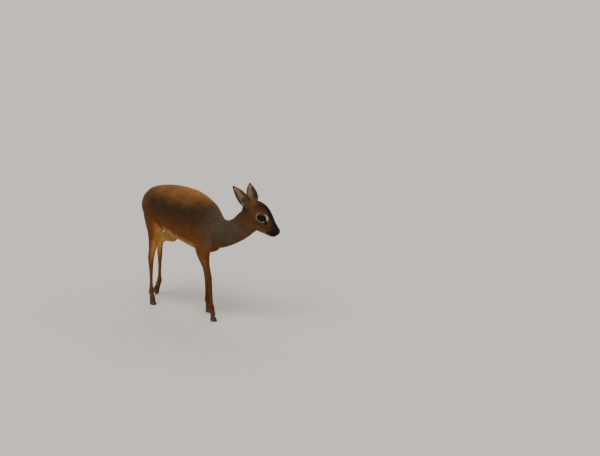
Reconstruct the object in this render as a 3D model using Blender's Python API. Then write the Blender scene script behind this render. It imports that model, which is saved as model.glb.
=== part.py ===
"""A life-size standing Kirk's dik-dik, a dwarf antelope, as a still display model.

Metres, +Z up. The torso points along +X, the animal's left is +Y, and the hooves stand on Z = 0.
The body is modelled whole, from lofts that are fused and smoothed, and is then parted by thin plane cuts.
"""

import math

import bmesh
import bpy
import numpy as np
from mathutils import Matrix, Vector

# Driving dimensions, in metres
GAP = 0.0003  # clearance between two pieces that touch
WITHERS = 0.384  # height of the back over the forelegs
LEG_CUT = 0.176  # height where the legs leave the torso
KNEE_CUT = 0.131
HOCK_CUT = 0.128
HOOF_LENGTH = 0.026
HOOF_HEIGHT = 0.0175
HOOF_WIDTH = 0.0078  # of one claw
CORONET_SLOPE = 0.34  # fall of a hoof's top from toe to heel, as a share of its length
EAR_LENGTH = 0.079
EAR_HALF_WIDTH = 0.0205
EAR_DEPTH = 0.0170
EAR_WALL = 0.0016
EAR_BEHIND = 0.1265  # the ear's root, behind the nose tip
EAR_LEVEL = 0.0090
EAR_SIDE = 0.0215
EYE_RADIUS = 0.0132
LID_THICKNESS = 0.0021
BODY_VOXEL = 0.0030
HEAD_VOXEL = 0.0013
BODY_FACES = 5400
HEAD_FACES = 3900

# The head's own axes: forward to the nose, up through the crown, and left
HEAD_YAW = math.radians(32)
HEAD_PITCH = math.radians(36)
NOSE_TIP = Vector((0.3590, 0.1075, 0.2905))
FORWARD = Vector(
    (
        math.cos(HEAD_PITCH) * math.cos(HEAD_YAW),
        math.cos(HEAD_PITCH) * math.sin(HEAD_YAW),
        -math.sin(HEAD_PITCH),
    )
)
LEFT = Vector((-math.sin(HEAD_YAW), math.cos(HEAD_YAW), 0))
CROWN = FORWARD.cross(LEFT)

# Torso sections: x, top, bottom, half width, height of the widest level
TORSO = [
    (-0.179, 0.324, 0.291, 0.012, 0.306),
    (-0.172, 0.342, 0.276, 0.028, 0.307),
    (-0.154, 0.360, 0.262, 0.041, 0.308),
    (-0.122, 0.374, 0.251, 0.050, 0.306),
    (-0.080, 0.384, 0.243, 0.056, 0.304),
    (-0.030, 0.391, 0.227, 0.059, 0.300),
    (0.030, 0.3935, 0.2165, 0.060, 0.296),
    (0.085, WITHERS + 0.005, 0.2070, 0.056, 0.295),
    (0.128, WITHERS - 0.008, 0.2035, 0.049, 0.296),
    (0.160, 0.360, 0.210, 0.041, 0.291),
    (0.184, 0.333, 0.223, 0.030, 0.284),
    (0.198, 0.306, 0.243, 0.017, 0.275),
]

# Neck sections along its centre line: x, y, z, half width, half height
NECK = [
    (0.120, -0.002, 0.290, 0.036, 0.070),
    (0.160, 0.002, 0.281, 0.038, 0.062),
    (0.195, 0.010, 0.276, 0.0340, 0.0475),
    (0.225, 0.024, 0.283, 0.0290, 0.0390),
    (0.249, 0.040, 0.299, 0.0270, 0.0375),
    (0.268, 0.053, 0.3195, 0.0262, 0.0392),
    (0.284, 0.064, 0.336, 0.0245, 0.0372),
    (0.296, 0.072, 0.347, 0.0150, 0.0240),
]

# Head sections: distance behind the nose tip, top, bottom, half width, widest level
HEAD = [
    (0.0000, 0.0040, -0.0070, 0.0062, -0.0015),
    (0.0035, 0.0076, -0.0140, 0.0092, -0.0030),
    (0.0095, 0.0108, -0.0222, 0.0113, -0.0050),
    (0.0200, 0.0147, -0.0285, 0.0128, -0.0060),
    (0.0330, 0.0207, -0.0325, 0.0147, -0.0050),
    (0.0470, 0.0290, -0.0368, 0.0178, -0.0020),
    (0.0620, 0.0363, -0.0412, 0.0226, 0.0040),
    (0.0770, 0.0411, -0.0445, 0.0264, 0.0080),
    (0.0920, 0.0426, -0.0445, 0.0274, 0.0100),
    (0.1070, 0.0405, -0.0405, 0.0268, 0.0080),
    (0.1220, 0.0345, -0.0330, 0.0250, 0.0030),
    (0.1340, 0.0240, -0.0230, 0.0215, 0.0010),
    (0.1410, 0.0140, -0.0140, 0.0150, 0.0010),
    (0.1440, 0.0060, -0.0040, 0.0060, 0.0010),
]
EYE_BEHIND = 0.0740  # behind the nose tip
EYE_LEVEL = 0.0100
EYE_SIDE = 0.0163
EYE_TURN = math.radians(20)  # each eye looks this far forward of sideways
EYE_LIFT = math.radians(6)
MOUTH_END = 0.036  # corner of the mouth, behind the nose tip
NECK_PLANE = Vector((0.196, 0.012, 0.280))
NECK_NORMAL = Vector((0.90, 0.36, 0.12)).normalized()
HEAD_PLANE_BEHIND = 0.116
HEAD_PLANE_TURN = math.radians(18)  # the head's cut leans from its own axis towards the neck's

# Limb centre lines: x, y, z, half width across, half width fore and aft
FORE_RIGHT = [
    (0.112, -0.022, 0.345, 0.012, 0.026),
    (0.134, -0.029, 0.300, 0.0170, 0.036),
    (0.149, -0.0325, 0.255, 0.0182, 0.038),
    (0.1525, -0.0345, 0.215, 0.0155, 0.0330),
    (0.1620, -0.033, 0.180, 0.0112, 0.0190),
    (0.1730, -0.0315, 0.152, 0.0088, 0.0120),
    (0.1800, -0.0310, 0.134, 0.0082, 0.0102),
    (0.1825, -0.0305, 0.116, 0.0068, 0.0084),
    (0.1855, -0.0300, 0.085, 0.0059, 0.0075),
    (0.1885, -0.0300, 0.056, 0.0059, 0.0075),
    (0.1905, -0.0300, 0.043, 0.0078, 0.0090),
    (0.1942, -0.0300, 0.030, 0.0072, 0.0078),
    (0.1975, -0.0300, 0.018, 0.0080, 0.0088),
    (0.1975, -0.0300, 0.004, 0.0078, 0.0092),
]
FORE_LEFT = [
    (0.100, 0.022, 0.345, 0.012, 0.028),
    (0.102, 0.027, 0.300, 0.0170, 0.038),
    (0.092, 0.031, 0.255, 0.0178, 0.037),
    (0.074, 0.034, 0.212, 0.0150, 0.0290),
    (0.068, 0.0345, 0.178, 0.0112, 0.0180),
    (0.0715, 0.035, 0.150, 0.0088, 0.0118),
    (0.0780, 0.0335, 0.130, 0.0082, 0.0102),
    (0.0815, 0.0325, 0.112, 0.0068, 0.0084),
    (0.0850, 0.0315, 0.082, 0.0059, 0.0075),
    (0.0868, 0.0310, 0.056, 0.0059, 0.0075),
    (0.0877, 0.0310, 0.043, 0.0078, 0.0090),
    (0.0910, 0.0310, 0.030, 0.0072, 0.0078),
    (0.0935, 0.0310, 0.018, 0.0080, 0.0088),
    (0.0935, 0.0310, 0.004, 0.0078, 0.0092),
]
HIND_RIGHT = [
    (-0.108, -0.026, 0.345, 0.014, 0.032),
    (-0.106, -0.031, 0.310, 0.0200, 0.050),
    (-0.096, -0.035, 0.272, 0.0210, 0.047),
    (-0.089, -0.040, 0.240, 0.0180, 0.035),
    (-0.0925, -0.044, 0.206, 0.0132, 0.0200),
    (-0.0975, -0.045, 0.176, 0.0100, 0.0140),
    (-0.1045, -0.045, 0.147, 0.0082, 0.0125),
    (-0.1045, -0.045, 0.130, 0.0072, 0.0100),
    (-0.1040, -0.045, 0.095, 0.0054, 0.0068),
    (-0.1035, -0.045, 0.058, 0.0056, 0.0070),
    (-0.1035, -0.045, 0.044, 0.0076, 0.0088),
    (-0.1000, -0.045, 0.030, 0.0070, 0.0076),
    (-0.0970, -0.045, 0.018, 0.0080, 0.0088),
    (-0.0970, -0.045, 0.004, 0.0078, 0.0092),
]
HIND_LEFT = [
    (-0.110, 0.026, 0.345, 0.014, 0.032),
    (-0.110, 0.030, 0.310, 0.0200, 0.051),
    (-0.106, 0.033, 0.272, 0.0205, 0.050),
    (-0.100, 0.0355, 0.243, 0.0190, 0.039),
    (-0.103, 0.038, 0.216, 0.0170, 0.0275),
    (-0.122, 0.041, 0.2060, 0.0150, 0.0205),
    (-0.146, 0.044, 0.1990, 0.0125, 0.0165),
    (-0.167, 0.045, 0.1870, 0.0102, 0.0140),
    (-0.176, 0.045, 0.1680, 0.0084, 0.0125),
    (-0.1775, 0.045, 0.1500, 0.0078, 0.0112),
    (-0.1775, 0.045, 0.135, 0.0072, 0.0104),
    (-0.1780, 0.045, 0.100, 0.0054, 0.0068),
    (-0.1795, 0.045, 0.064, 0.0056, 0.0070),
    (-0.1800, 0.045, 0.050, 0.0078, 0.0090),
    (-0.1850, 0.045, 0.037, 0.0070, 0.0076),
    (-0.1912, 0.045, 0.026, 0.0080, 0.0088),
    (-0.1985, 0.045, 0.012, 0.0078, 0.0092),
]
TAIL = [
    (-0.150, 0.000, 0.340, 0.0080, 0.0060),
    (-0.168, 0.000, 0.338, 0.0092, 0.0068),
    (-0.1800, 0.001, 0.330, 0.0098, 0.0066),
    (-0.1838, 0.002, 0.316, 0.0090, 0.0056),
    (-0.1836, 0.003, 0.300, 0.0076, 0.0048),
    (-0.1810, 0.003, 0.286, 0.0058, 0.0040),
    (-0.1778, 0.003, 0.274, 0.0034, 0.0026),
    (-0.1760, 0.003, 0.268, 0.0014, 0.0012),
]
# A foot: where its sole's middle stands, and how far its toe is turned down
FEET = {
    "foreleg_right": (Vector((0.2015, -0.0300, 0)), 0.0),
    "foreleg_left": (Vector((0.0975, 0.0310, 0)), 0.0),
    "hindleg_right": (Vector((-0.0930, -0.0450, 0)), 0.0),
    "hindleg_left": (Vector((-0.2030, 0.0450, 0)), math.radians(62)),
}

COLOURS = {
    "coat_back": ((0.115, 0.062, 0.030), 0.85, 0.0),
    "coat_neck": ((0.125, 0.085, 0.055), 0.85, 0.0),
    "coat_face": ((0.130, 0.062, 0.030), 0.80, 0.0),
    "coat_leg": ((0.230, 0.085, 0.028), 0.80, 0.0),
    "ear": ((0.150, 0.105, 0.080), 0.80, 0.0),
    "eye": ((0.008, 0.006, 0.005), 0.08, 0.0),
    "horn_sheath": ((0.016, 0.013, 0.012), 0.45, 0.0),
}


def material(name):
    found = bpy.data.materials.get(name)
    if found:
        return found
    colour, roughness, metallic = COLOURS[name]
    made = bpy.data.materials.new(name)
    made.use_nodes = True
    shader = made.node_tree.nodes["Principled BSDF"]
    shader.inputs["Base Color"].default_value = (*colour, 1.0)
    shader.inputs["Roughness"].default_value = roughness
    shader.inputs["Metallic"].default_value = metallic
    return made


def new_object(name, mesh, colour=None):
    made = bpy.data.objects.new(name, mesh)
    bpy.context.scene.collection.objects.link(made)
    if colour:
        mesh.materials.clear()
        mesh.materials.append(material(colour))
    return made


def remove(*objects):
    for found in objects:
        mesh = found.data
        bpy.data.objects.remove(found)
        bpy.data.meshes.remove(mesh)


def smooth_rows(rows, per_span):
    """A cubic curve through the rows. Its length is measured on the first three columns."""
    rows = np.array(rows, float)
    chord = np.linalg.norm(np.diff(rows[:, :3], axis=0), axis=1)
    chord = np.concatenate([[0.0], np.cumsum(chord)])
    slope = np.gradient(rows, chord, axis=0)
    spans = [np.linspace(a, b, per_span, endpoint=False) for a, b in zip(chord, chord[1:])]
    at = np.concatenate([*spans, chord[-1:]])
    span = np.clip(np.searchsorted(chord, at, side="right") - 1, 0, len(chord) - 2)
    width = (chord[span + 1] - chord[span])[:, None]
    s = (at - chord[span])[:, None] / width
    start = rows[span] * (1 + 2 * s) * (1 - s) ** 2 + slope[span] * width * s * (1 - s) ** 2
    end = rows[span + 1] * s**2 * (3 - 2 * s) + slope[span + 1] * width * s**2 * (s - 1)
    return start + end


def rings_object(name, rings):
    """A closed surface over an array of rings, with a fan on each end."""
    count, sides = rings.shape[:2]
    points = [*rings.reshape(-1, 3), rings[0].mean(0), rings[-1].mean(0)]
    first_centre, last_centre = count * sides, count * sides + 1
    faces = []
    for i in range(count - 1):
        for j in range(sides):
            k = (j + 1) % sides
            faces.append((i * sides + j, i * sides + k, (i + 1) * sides + k, (i + 1) * sides + j))
    last = (count - 1) * sides
    for j in range(sides):
        k = (j + 1) % sides
        faces.append((k, j, first_centre))
        faces.append((last + j, last + k, last_centre))
    mesh = bpy.data.meshes.new(name)
    mesh.from_pydata([tuple(map(float, p)) for p in points], [], faces)
    bm = bmesh.new()
    bm.from_mesh(mesh)
    bmesh.ops.recalc_face_normals(bm, faces=bm.faces)
    bm.to_mesh(mesh)
    bm.free()
    return new_object(name, mesh)


def section(angle, top, bottom, half_width, widest, belly=1.0):
    """(across, height) of an egg-shaped section. belly over 1 narrows the lower half."""
    across = half_width * np.cos(angle)
    rise = np.sin(angle)
    across = np.where(rise < 0, across * np.abs(np.cos(angle)) ** (belly - 1), across)
    height = np.where(rise > 0, widest + (top - widest) * rise, widest + (widest - bottom) * rise)
    return across, height


def torso_object():
    rows = [(x, 0, 0, top, bottom, half, widest) for x, top, bottom, half, widest in TORSO]
    angle = np.linspace(0, 2 * math.pi, 40, endpoint=False)
    rings = []
    for x, _, _, top, bottom, half, widest in smooth_rows(rows, 5):
        y, z = section(angle, top, bottom, half, widest)
        rings.append(np.stack([np.full_like(y, x), y, z], axis=1))
    return rings_object("torso_loft", np.array(rings))


def tube_object(name, rows, per_span=4, sides=20, upright=False):
    """A loft along a centre line. Upright rings stand on edge, as in a neck; others lie as in a leg."""
    smooth = smooth_rows(rows, per_span)
    centre = smooth[:, :3]
    along = np.gradient(centre, axis=0)
    along /= np.linalg.norm(along, axis=1)[:, None]
    guide = np.array([0.0, 0.0, 1.0] if upright else [0.0, 1.0, 0.0])
    second = np.cross(along, guide)
    second /= np.linalg.norm(second, axis=1)[:, None]
    first = np.cross(second, along)
    across, deep = (second, first) if upright else (first, second)
    angle = np.linspace(0, 2 * math.pi, sides, endpoint=False)
    turn_across = np.cos(angle)[None, :, None] * smooth[:, 3][:, None, None] * across[:, None, :]
    turn_deep = np.sin(angle)[None, :, None] * smooth[:, 4][:, None, None] * deep[:, None, :]
    return rings_object(name, centre[:, None, :] + turn_across + turn_deep)


def head_point(behind, level, side):
    return NOSE_TIP - FORWARD * float(behind) + CROWN * float(level) + LEFT * float(side)


def head_rows(per_span):
    rows = [(t, 0, 0, top, bottom, half, widest) for t, top, bottom, half, widest in HEAD]
    return smooth_rows(rows, per_span)[:, [0, 3, 4, 5, 6]]


def head_loft():
    angle = np.linspace(0, 2 * math.pi, 48, endpoint=False)
    rings = []
    for behind, top, bottom, half, widest in head_rows(6):
        across, level = section(angle, top, bottom, half, widest, belly=1.25)
        rings.append([head_point(behind, u, s) for u, s in zip(level, across)])
    return rings_object("head_loft", np.array(rings, float))


def head_half_width(behind, level):
    """Half the head's width at a level below its widest one."""
    rows = head_rows(6)
    bottom, half, widest = (np.interp(behind, rows[:, 0], rows[:, i]) for i in (2, 3, 4))
    rise = min(1.0, max(0.0, (widest - level) / (widest - bottom)))
    return half * (1 - rise**2) ** (0.5 * 1.25)


def eye_axis(side):
    """The way that an eye looks; side is 1 for the left and -1 for the right."""
    sideways = side * math.cos(EYE_TURN) * LEFT + math.sin(EYE_TURN) * FORWARD
    return (math.cos(EYE_LIFT) * sideways + math.sin(EYE_LIFT) * CROWN).normalized()


def eye_centre(side):
    return head_point(EYE_BEHIND, EYE_LEVEL, side * EYE_SIDE)


def ball(name, centre, radii, axes=None, segments=20, rings=12):
    """An ellipsoid with its own half lengths along three axes."""
    mesh = bpy.data.meshes.new(name)
    bm = bmesh.new()
    bmesh.ops.create_uvsphere(bm, u_segments=segments, v_segments=rings, radius=1.0)
    frame = Matrix([axis.normalized() for axis in axes]).transposed() if axes else Matrix.Identity(3)
    turned = frame @ Matrix.Diagonal(radii)
    for vertex in bm.verts:
        vertex.co = centre + turned @ vertex.co
    bm.normal_update()
    bmesh.ops.recalc_face_normals(bm, faces=bm.faces)
    bm.to_mesh(mesh)
    bm.free()
    return new_object(name, mesh)


def eye_frame(side):
    """Axes of an eye: along the slit towards the nose, up, and out."""
    out = eye_axis(side)
    slit = (FORWARD - 0.35 * CROWN).normalized()
    slit = (slit - slit.dot(out) * out).normalized()
    return slit, out.cross(slit), out


def lid_opening(side):
    """The almond between the lids, as a prism that runs out of the eye: longer at the tear duct."""
    slit, up, out = eye_frame(side)
    centre = eye_centre(side)
    angle = np.linspace(0, 2 * math.pi, 28, endpoint=False)
    rings = []
    for reach in (0.0010, 0.0090, 0.0200):
        ring = []
        for a in angle:
            long_way = 0.0117 * math.cos(a) + 0.0014 * max(0.0, math.cos(a)) ** 6
            short_way = 0.0098 * math.sin(a)
            ring.append(centre + reach * out + long_way * slit + short_way * up)
        rings.append(ring)
    return rings_object("lid_opening", np.array(rings, float))


def mouth_level(behind):
    return -0.0152 - 0.10 * behind - 2.2 * behind**2


def lip_objects():
    """The rolled edges of the lips, one above and one below the line of the mouth on each side."""
    made = []
    for side in (1, -1):
        for offset, radius in ((0.0019, 0.0021), (-0.0021, 0.0019)):
            rows = []
            for behind in np.linspace(0.0075, MOUTH_END - 0.004, 7):
                level = mouth_level(behind) + offset
                inset = head_half_width(behind, level) - 0.55 * radius
                fade = 1 - 0.45 * (behind / MOUTH_END) ** 2
                point = head_point(behind, level, side * inset)
                rows.append((*point, radius * fade, radius * fade))
            made.append(tube_object("lip", rows, per_span=3, sides=10, upright=True))
    return made


def mouth_cutter():
    """A horseshoe plate, open to the back, that scores the line of the mouth round the muzzle."""
    outer, inner = [], []
    for behind in np.linspace(MOUTH_END, 0.0085, 9):
        level = mouth_level(behind)
        half = head_half_width(behind, level)
        depth = 0.0022 * min(1.0, 0.25 + (MOUTH_END - behind) / 0.010)
        outer.append((behind, level, half + 0.004))
        inner.append((behind, level, half - depth))
    left = [outer, inner]
    path_outer = [*left[0], (-0.002, mouth_level(0), 0.0)]
    path_inner = [*left[1], (0.0105, mouth_level(0.0105), 0.0)]
    mirrored = [[(t, u, -s) for t, u, s in reversed(path[:-1])] for path in (path_outer, path_inner)]
    path_outer += mirrored[0]
    path_inner += mirrored[1]
    half_gap = 0.0005
    rings = []
    for (t1, u1, s1), (t2, u2, s2) in zip(path_outer, path_inner):
        near = [(t1, u1 + half_gap, s1), (t1, u1 - half_gap, s1)]
        far = [(t2, u2 - half_gap * 0.5, s2), (t2, u2 + half_gap * 0.5, s2)]
        rings.append([head_point(*corner) for corner in near + far])
    return rings_object("mouth_cutter", np.array(rings, float))


def nostril_cutter(side):
    """A slanting comma at the side of the nose tip."""
    long_axis = (CROWN * 0.75 - FORWARD * 0.55 + LEFT * side * 0.25).normalized()
    out = (LEFT * side * 0.85 + FORWARD * 0.6).normalized()
    out = (out - out.dot(long_axis) * long_axis).normalized()
    centre = head_point(0.0036, -0.0022, side * 0.0078)
    axes = (long_axis, long_axis.cross(out), out)
    return ball("nostril_cutter", centre, (0.0038, 0.0016, 0.0034), axes, 16, 10)


def fused(name, pieces, voxel):
    """The pieces' outer surface as one even mesh."""
    mesh = bpy.data.meshes.new(name)
    bm = bmesh.new()
    for piece in pieces:
        bm.from_mesh(piece.data)
    bm.to_mesh(mesh)
    bm.free()
    remove(*pieces)
    made = new_object(name, mesh)
    modifier = made.modifiers.new("fuse", "REMESH")
    modifier.mode = "VOXEL"
    modifier.voxel_size = voxel
    apply_modifiers(made)
    return made


def apply_modifiers(made):
    bpy.context.view_layer.update()
    graph = bpy.context.evaluated_depsgraph_get()
    mesh = bpy.data.meshes.new_from_object(made.evaluated_get(graph))
    old = made.data
    made.modifiers.clear()
    made.data = mesh
    bpy.data.meshes.remove(old)


def relax(made, rounds, weight, push_back=-0.53, pull=0.5):
    """Evens a surface: points go to their neighbours' mean and then most of the way back."""
    mesh = made.data
    points = np.empty(len(mesh.vertices) * 3)
    mesh.vertices.foreach_get("co", points)
    points = points.reshape(-1, 3)
    edges = np.empty(len(mesh.edges) * 2, int)
    mesh.edges.foreach_get("vertices", edges)
    ends = np.concatenate([edges.reshape(-1, 2), edges.reshape(-1, 2)[:, ::-1]])
    count = np.bincount(ends[:, 0], minlength=len(points))[:, None]
    share = weight(points)[:, None]
    for _ in range(rounds):
        for step in (pull, push_back):
            total = [np.bincount(ends[:, 0], points[ends[:, 1], i], len(points)) for i in range(3)]
            points += share * step * (np.stack(total, axis=1) / count - points)
    mesh.vertices.foreach_set("co", points.ravel())
    mesh.update()


def thin_out(made, faces):
    """Fewer triangles, most kept where the surface bends."""
    modifier = made.modifiers.new("thin", "DECIMATE")
    made.data.calc_loop_triangles()
    modifier.ratio = min(1.0, faces / len(made.data.loop_triangles))
    modifier.use_collapse_triangulate = True
    apply_modifiers(made)


def cut(made, point, normal, name=None):
    """Keeps the side that normal points to, with a flat cap. With a name it makes a new object."""
    bm = bmesh.new()
    bm.from_mesh(made.data)
    geometry = bm.verts[:] + bm.edges[:] + bm.faces[:]
    found = bmesh.ops.bisect_plane(
        bm, geom=geometry, plane_co=point, plane_no=normal, clear_inner=True, dist=1e-6
    )
    edges = [e for e in found["geom_cut"] if isinstance(e, bmesh.types.BMEdge) and e.is_boundary]
    bmesh.ops.triangle_fill(bm, use_beauty=True, use_dissolve=False, edges=edges)
    bmesh.ops.recalc_face_normals(bm, faces=bm.faces)
    if name:
        mesh = bpy.data.meshes.new(name)
        bm.to_mesh(mesh)
        bm.free()
        return new_object(name, mesh)
    bm.to_mesh(made.data)
    bm.free()
    return made


def islands(bm):
    """The connected pieces of a mesh, as lists of faces, largest first."""
    left = set(bm.faces)
    found = []
    while left:
        start = left.pop()
        piece, edge_of = [start], [start]
        while edge_of:
            face = edge_of.pop()
            for edge in face.edges:
                for other in edge.link_faces:
                    if other in left:
                        left.remove(other)
                        piece.append(other)
                        edge_of.append(other)
        found.append(piece)
    return sorted(found, key=len, reverse=True)


def keep_largest(made):
    bm = bmesh.new()
    bm.from_mesh(made.data)
    for piece in islands(bm)[1:]:
        bmesh.ops.delete(bm, geom=piece, context="FACES")
    bm.to_mesh(made.data)
    bm.free()


def keep_near(made, place, name):
    """A copy of the one connected piece whose middle is nearest to a place."""
    bm = bmesh.new()
    bm.from_mesh(made.data)
    pieces = islands(bm)

    def distance(piece):
        middle = sum((f.calc_center_median() for f in piece), Vector()) / len(piece)
        return (middle - place).length

    nearest = min(pieces, key=distance)
    for piece in pieces:
        if piece is not nearest:
            bmesh.ops.delete(bm, geom=piece, context="FACES")
    mesh = bpy.data.meshes.new(name)
    bm.to_mesh(mesh)
    bm.free()
    return new_object(name, mesh)


def swollen(made, reach):
    """A copy moved out along its normals, which leaves the clearance when it is cut away."""
    mesh = made.data.copy()
    bm = bmesh.new()
    bm.from_mesh(mesh)
    bm.normal_update()
    moved = [v.co + reach * v.normal for v in bm.verts]
    for vertex, place in zip(bm.verts, moved):
        vertex.co = place
    bm.to_mesh(mesh)
    bm.free()
    return new_object("swollen", mesh)


def carve(made, *cutters):
    for cutter in cutters:
        modifier = made.modifiers.new("carve", "BOOLEAN")
        modifier.operation = "DIFFERENCE"
        modifier.object = cutter
        apply_modifiers(made)
    remove(*cutters)
    keep_largest(made)


def finish(made, colour):
    """Names the material, drops needle-thin triangles and shades the surface smooth."""
    bm = bmesh.new()
    bm.from_mesh(made.data)
    bmesh.ops.remove_doubles(bm, verts=bm.verts, dist=0.00004)
    bmesh.ops.dissolve_degenerate(bm, dist=0.00004, edges=bm.edges)
    bmesh.ops.triangulate(bm, faces=bm.faces)
    bm.to_mesh(made.data)
    bm.free()
    made.data.materials.clear()
    made.data.materials.append(material(colour))
    made.data.shade_smooth()
    made.data.set_sharp_from_angle(angle=math.radians(40))
    return made


def body_weight(points):
    """Full smoothing on the trunk, fading to a little on the thin legs."""
    return 0.15 + 0.85 * np.clip((points[:, 2] - 0.17) / 0.05, 0, 1)


def throat_weight(points):
    """Full smoothing where the jaw meets the neck, and none near the eyes or on the muzzle."""
    behind = (np.array(NOSE_TIP) - points) @ np.array(FORWARD)
    reach = np.min([np.linalg.norm(points - np.array(eye_centre(side)), axis=1) for side in (1, -1)], axis=0)
    return np.clip((behind - 0.052) / 0.02, 0, 1) * np.clip((reach - 0.019) / 0.008, 0, 1)


def build_body():
    """Torso, neck and legs as one surface, in nodes parted by plane cuts."""
    limbs = {
        "foreleg_right": FORE_RIGHT,
        "foreleg_left": FORE_LEFT,
        "hindleg_right": HIND_RIGHT,
        "hindleg_left": HIND_LEFT,
    }
    pieces = [torso_object(), tube_object("neck_loft", NECK, sides=36, upright=True), head_loft()]
    pieces += [tube_object(name, rows, per_span=5, sides=24) for name, rows in limbs.items()]
    body = fused("body", pieces, BODY_VOXEL)
    relax(body, 26, body_weight, push_back=-0.36)
    relax(body, 6, lambda points: np.full(len(points), 0.6))
    thin_out(body, BODY_FACES)

    head_place, head_normal = head_plane()
    behind_head = cut(body, head_place - GAP / 2 * head_normal, -head_normal, "behind_head")
    cut(behind_head, NECK_PLANE + GAP / 2 * NECK_NORMAL, NECK_NORMAL, "neck")
    rear = cut(behind_head, NECK_PLANE - GAP / 2 * NECK_NORMAL, -NECK_NORMAL, "rear")
    up = Vector((0, 0, 1))
    cut(rear, Vector((0, 0, LEG_CUT + GAP / 2)), up, "torso")
    legs = cut(rear, Vector((0, 0, LEG_CUT - GAP / 2)), -up, "legs")
    for name, rows in limbs.items():
        build_leg(name, rows, legs)
    remove(body, behind_head, rear, legs)
    keep_largest(bpy.data.objects["torso"])
    finish(bpy.data.objects["torso"], "coat_back")
    finish(bpy.data.objects["neck"], "coat_neck")


def build_leg(name, rows, legs):
    """The upper and lower length of one leg, down to the coronet."""
    upper_name, lower_name, height = (
        ("forearm", "cannon", KNEE_CUT) if name.startswith("fore") else ("gaskin", "cannon", HOCK_CUT)
    )
    middle = Vector(rows[-5][:3])
    leg = keep_near(legs, middle, name + "_whole")
    place = Vector((0, 0, height))
    up = Vector((0, 0, 1))
    upper = cut(leg, place + GAP / 2 * up, up, f"{name}_{upper_name}")
    lower = cut(leg, place - GAP / 2 * up, -up, f"{name}_{lower_name}")
    top, normal = coronet(name)
    cut(lower, top + GAP * normal, normal)
    keep_largest(lower)
    remove(leg)
    finish(upper, "coat_leg")
    finish(lower, "coat_leg")
    for side in (1, -1):
        build_claw(name, side)


def foot_frame(name):
    """Matrix from a foot's own axes, toe along +X and sole on Z = 0, to the model."""
    place, toe_down = FEET[name]
    turn = Matrix.Rotation(toe_down, 4, "Y")
    if not toe_down:
        return Matrix.Translation(place)
    toe = Vector((HOOF_LENGTH * 0.5, 0, 0))
    lowest = turn @ toe
    return Matrix.Translation(place + Vector((0.0025, 0, -lowest.z - 0.0012))) @ turn


def coronet(name):
    """A point on the slanting top of a foot's hooves, and its normal."""
    frame = foot_frame(name)
    slope = Vector((-CORONET_SLOPE, 0, 1)).normalized()
    top = Vector((0, 0, HOOF_HEIGHT - CORONET_SLOPE * HOOF_LENGTH * 0.5))
    return frame @ top, (frame.to_3x3() @ slope).normalized()


def build_claw(name, side):
    """One of a foot's two claws: pointed at the toe, steep outside, flat inside and flat on the sole."""
    sides = 18
    angle = np.linspace(0, 2 * math.pi, sides, endpoint=False)
    rings = []
    for share in (0.0, 0.06, 0.35, 0.7, 1.0):
        scale = 1 - 0.05 * share if share else 0.93
        back = -0.5 * HOOF_LENGTH * scale
        front = HOOF_LENGTH * (0.5 - 0.34 * share)
        long_way = (front + back) / 2 + (front - back) / 2 * np.cos(angle)
        pinch = 1 - 0.45 * np.clip(np.cos(angle), 0, 1) ** 2
        wide_way = HOOF_WIDTH * scale * (0.5 + 0.5 * np.sin(angle) * pinch)
        wide_way = 0.0004 + wide_way - 0.15 * HOOF_WIDTH * share * np.clip(wide_way / HOOF_WIDTH, 0, 1)
        height = np.full(sides, HOOF_HEIGHT * share)
        top = HOOF_HEIGHT - CORONET_SLOPE * (0.5 * HOOF_LENGTH - long_way)
        height = np.minimum(height, top) if share < 1 else top
        rings.append(np.stack([long_way, side * wide_way, height * (0.92 if 0 < share < 1 else 1)], axis=1))
    frame = foot_frame(name)
    local = np.array(rings)
    world = local @ np.array(frame.to_3x3()).T + np.array(frame.translation)
    where = "left" if side > 0 else "right"
    claw = rings_object(f"hoof_{name}_{where}", world)
    if FEET[name][1]:
        cut(claw, Vector((0, 0, 0)), Vector((0, 0, 1)))
    finish(claw, "horn_sheath")


def head_plane():
    """Where the head leaves the neck: a place on the cut and its normal, towards the nose."""
    normal = (math.cos(HEAD_PLANE_TURN) * FORWARD + math.sin(HEAD_PLANE_TURN) * CROWN).normalized()
    return head_point(HEAD_PLANE_BEHIND, 0, 0), normal


def build_head():
    """The head with its lids, lips, mouth line and nostrils, and the balls of the eyes in their sockets."""
    pieces = [head_loft(), tube_object("neck_loft", NECK, sides=36, upright=True), *lip_objects()]
    for side in (1, -1):
        lid = EYE_RADIUS + LID_THICKNESS
        pieces.append(ball("lid", eye_centre(side), (lid, lid * 0.96, lid), eye_frame(side), 32, 20))
    head = fused("head", pieces, HEAD_VOXEL)
    relax(head, 5, lambda points: np.full(len(points), 0.7), push_back=-0.45)
    relax(head, 30, throat_weight, push_back=-0.34)
    place, normal = head_plane()
    cut(head, place + GAP / 2 * normal, normal)
    keep_largest(head)
    thin_out(head, HEAD_FACES)
    cutters = []
    for side in (1, -1):
        socket = EYE_RADIUS + GAP
        cutters.append(ball("socket", eye_centre(side), (socket, socket, socket), eye_frame(side), 24, 15))
        cutters.append(lid_opening(side))
        cutters.append(nostril_cutter(side))
    cutters.append(mouth_cutter())
    carve(head, *cutters)
    finish(head, "coat_face")
    for side, where in ((1, "left"), (-1, "right")):
        size = (EYE_RADIUS, EYE_RADIUS, EYE_RADIUS)
        eye = ball(f"eye_{where}", eye_centre(side), size, eye_frame(side), 20, 12)
        finish(eye, "eye")


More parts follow.
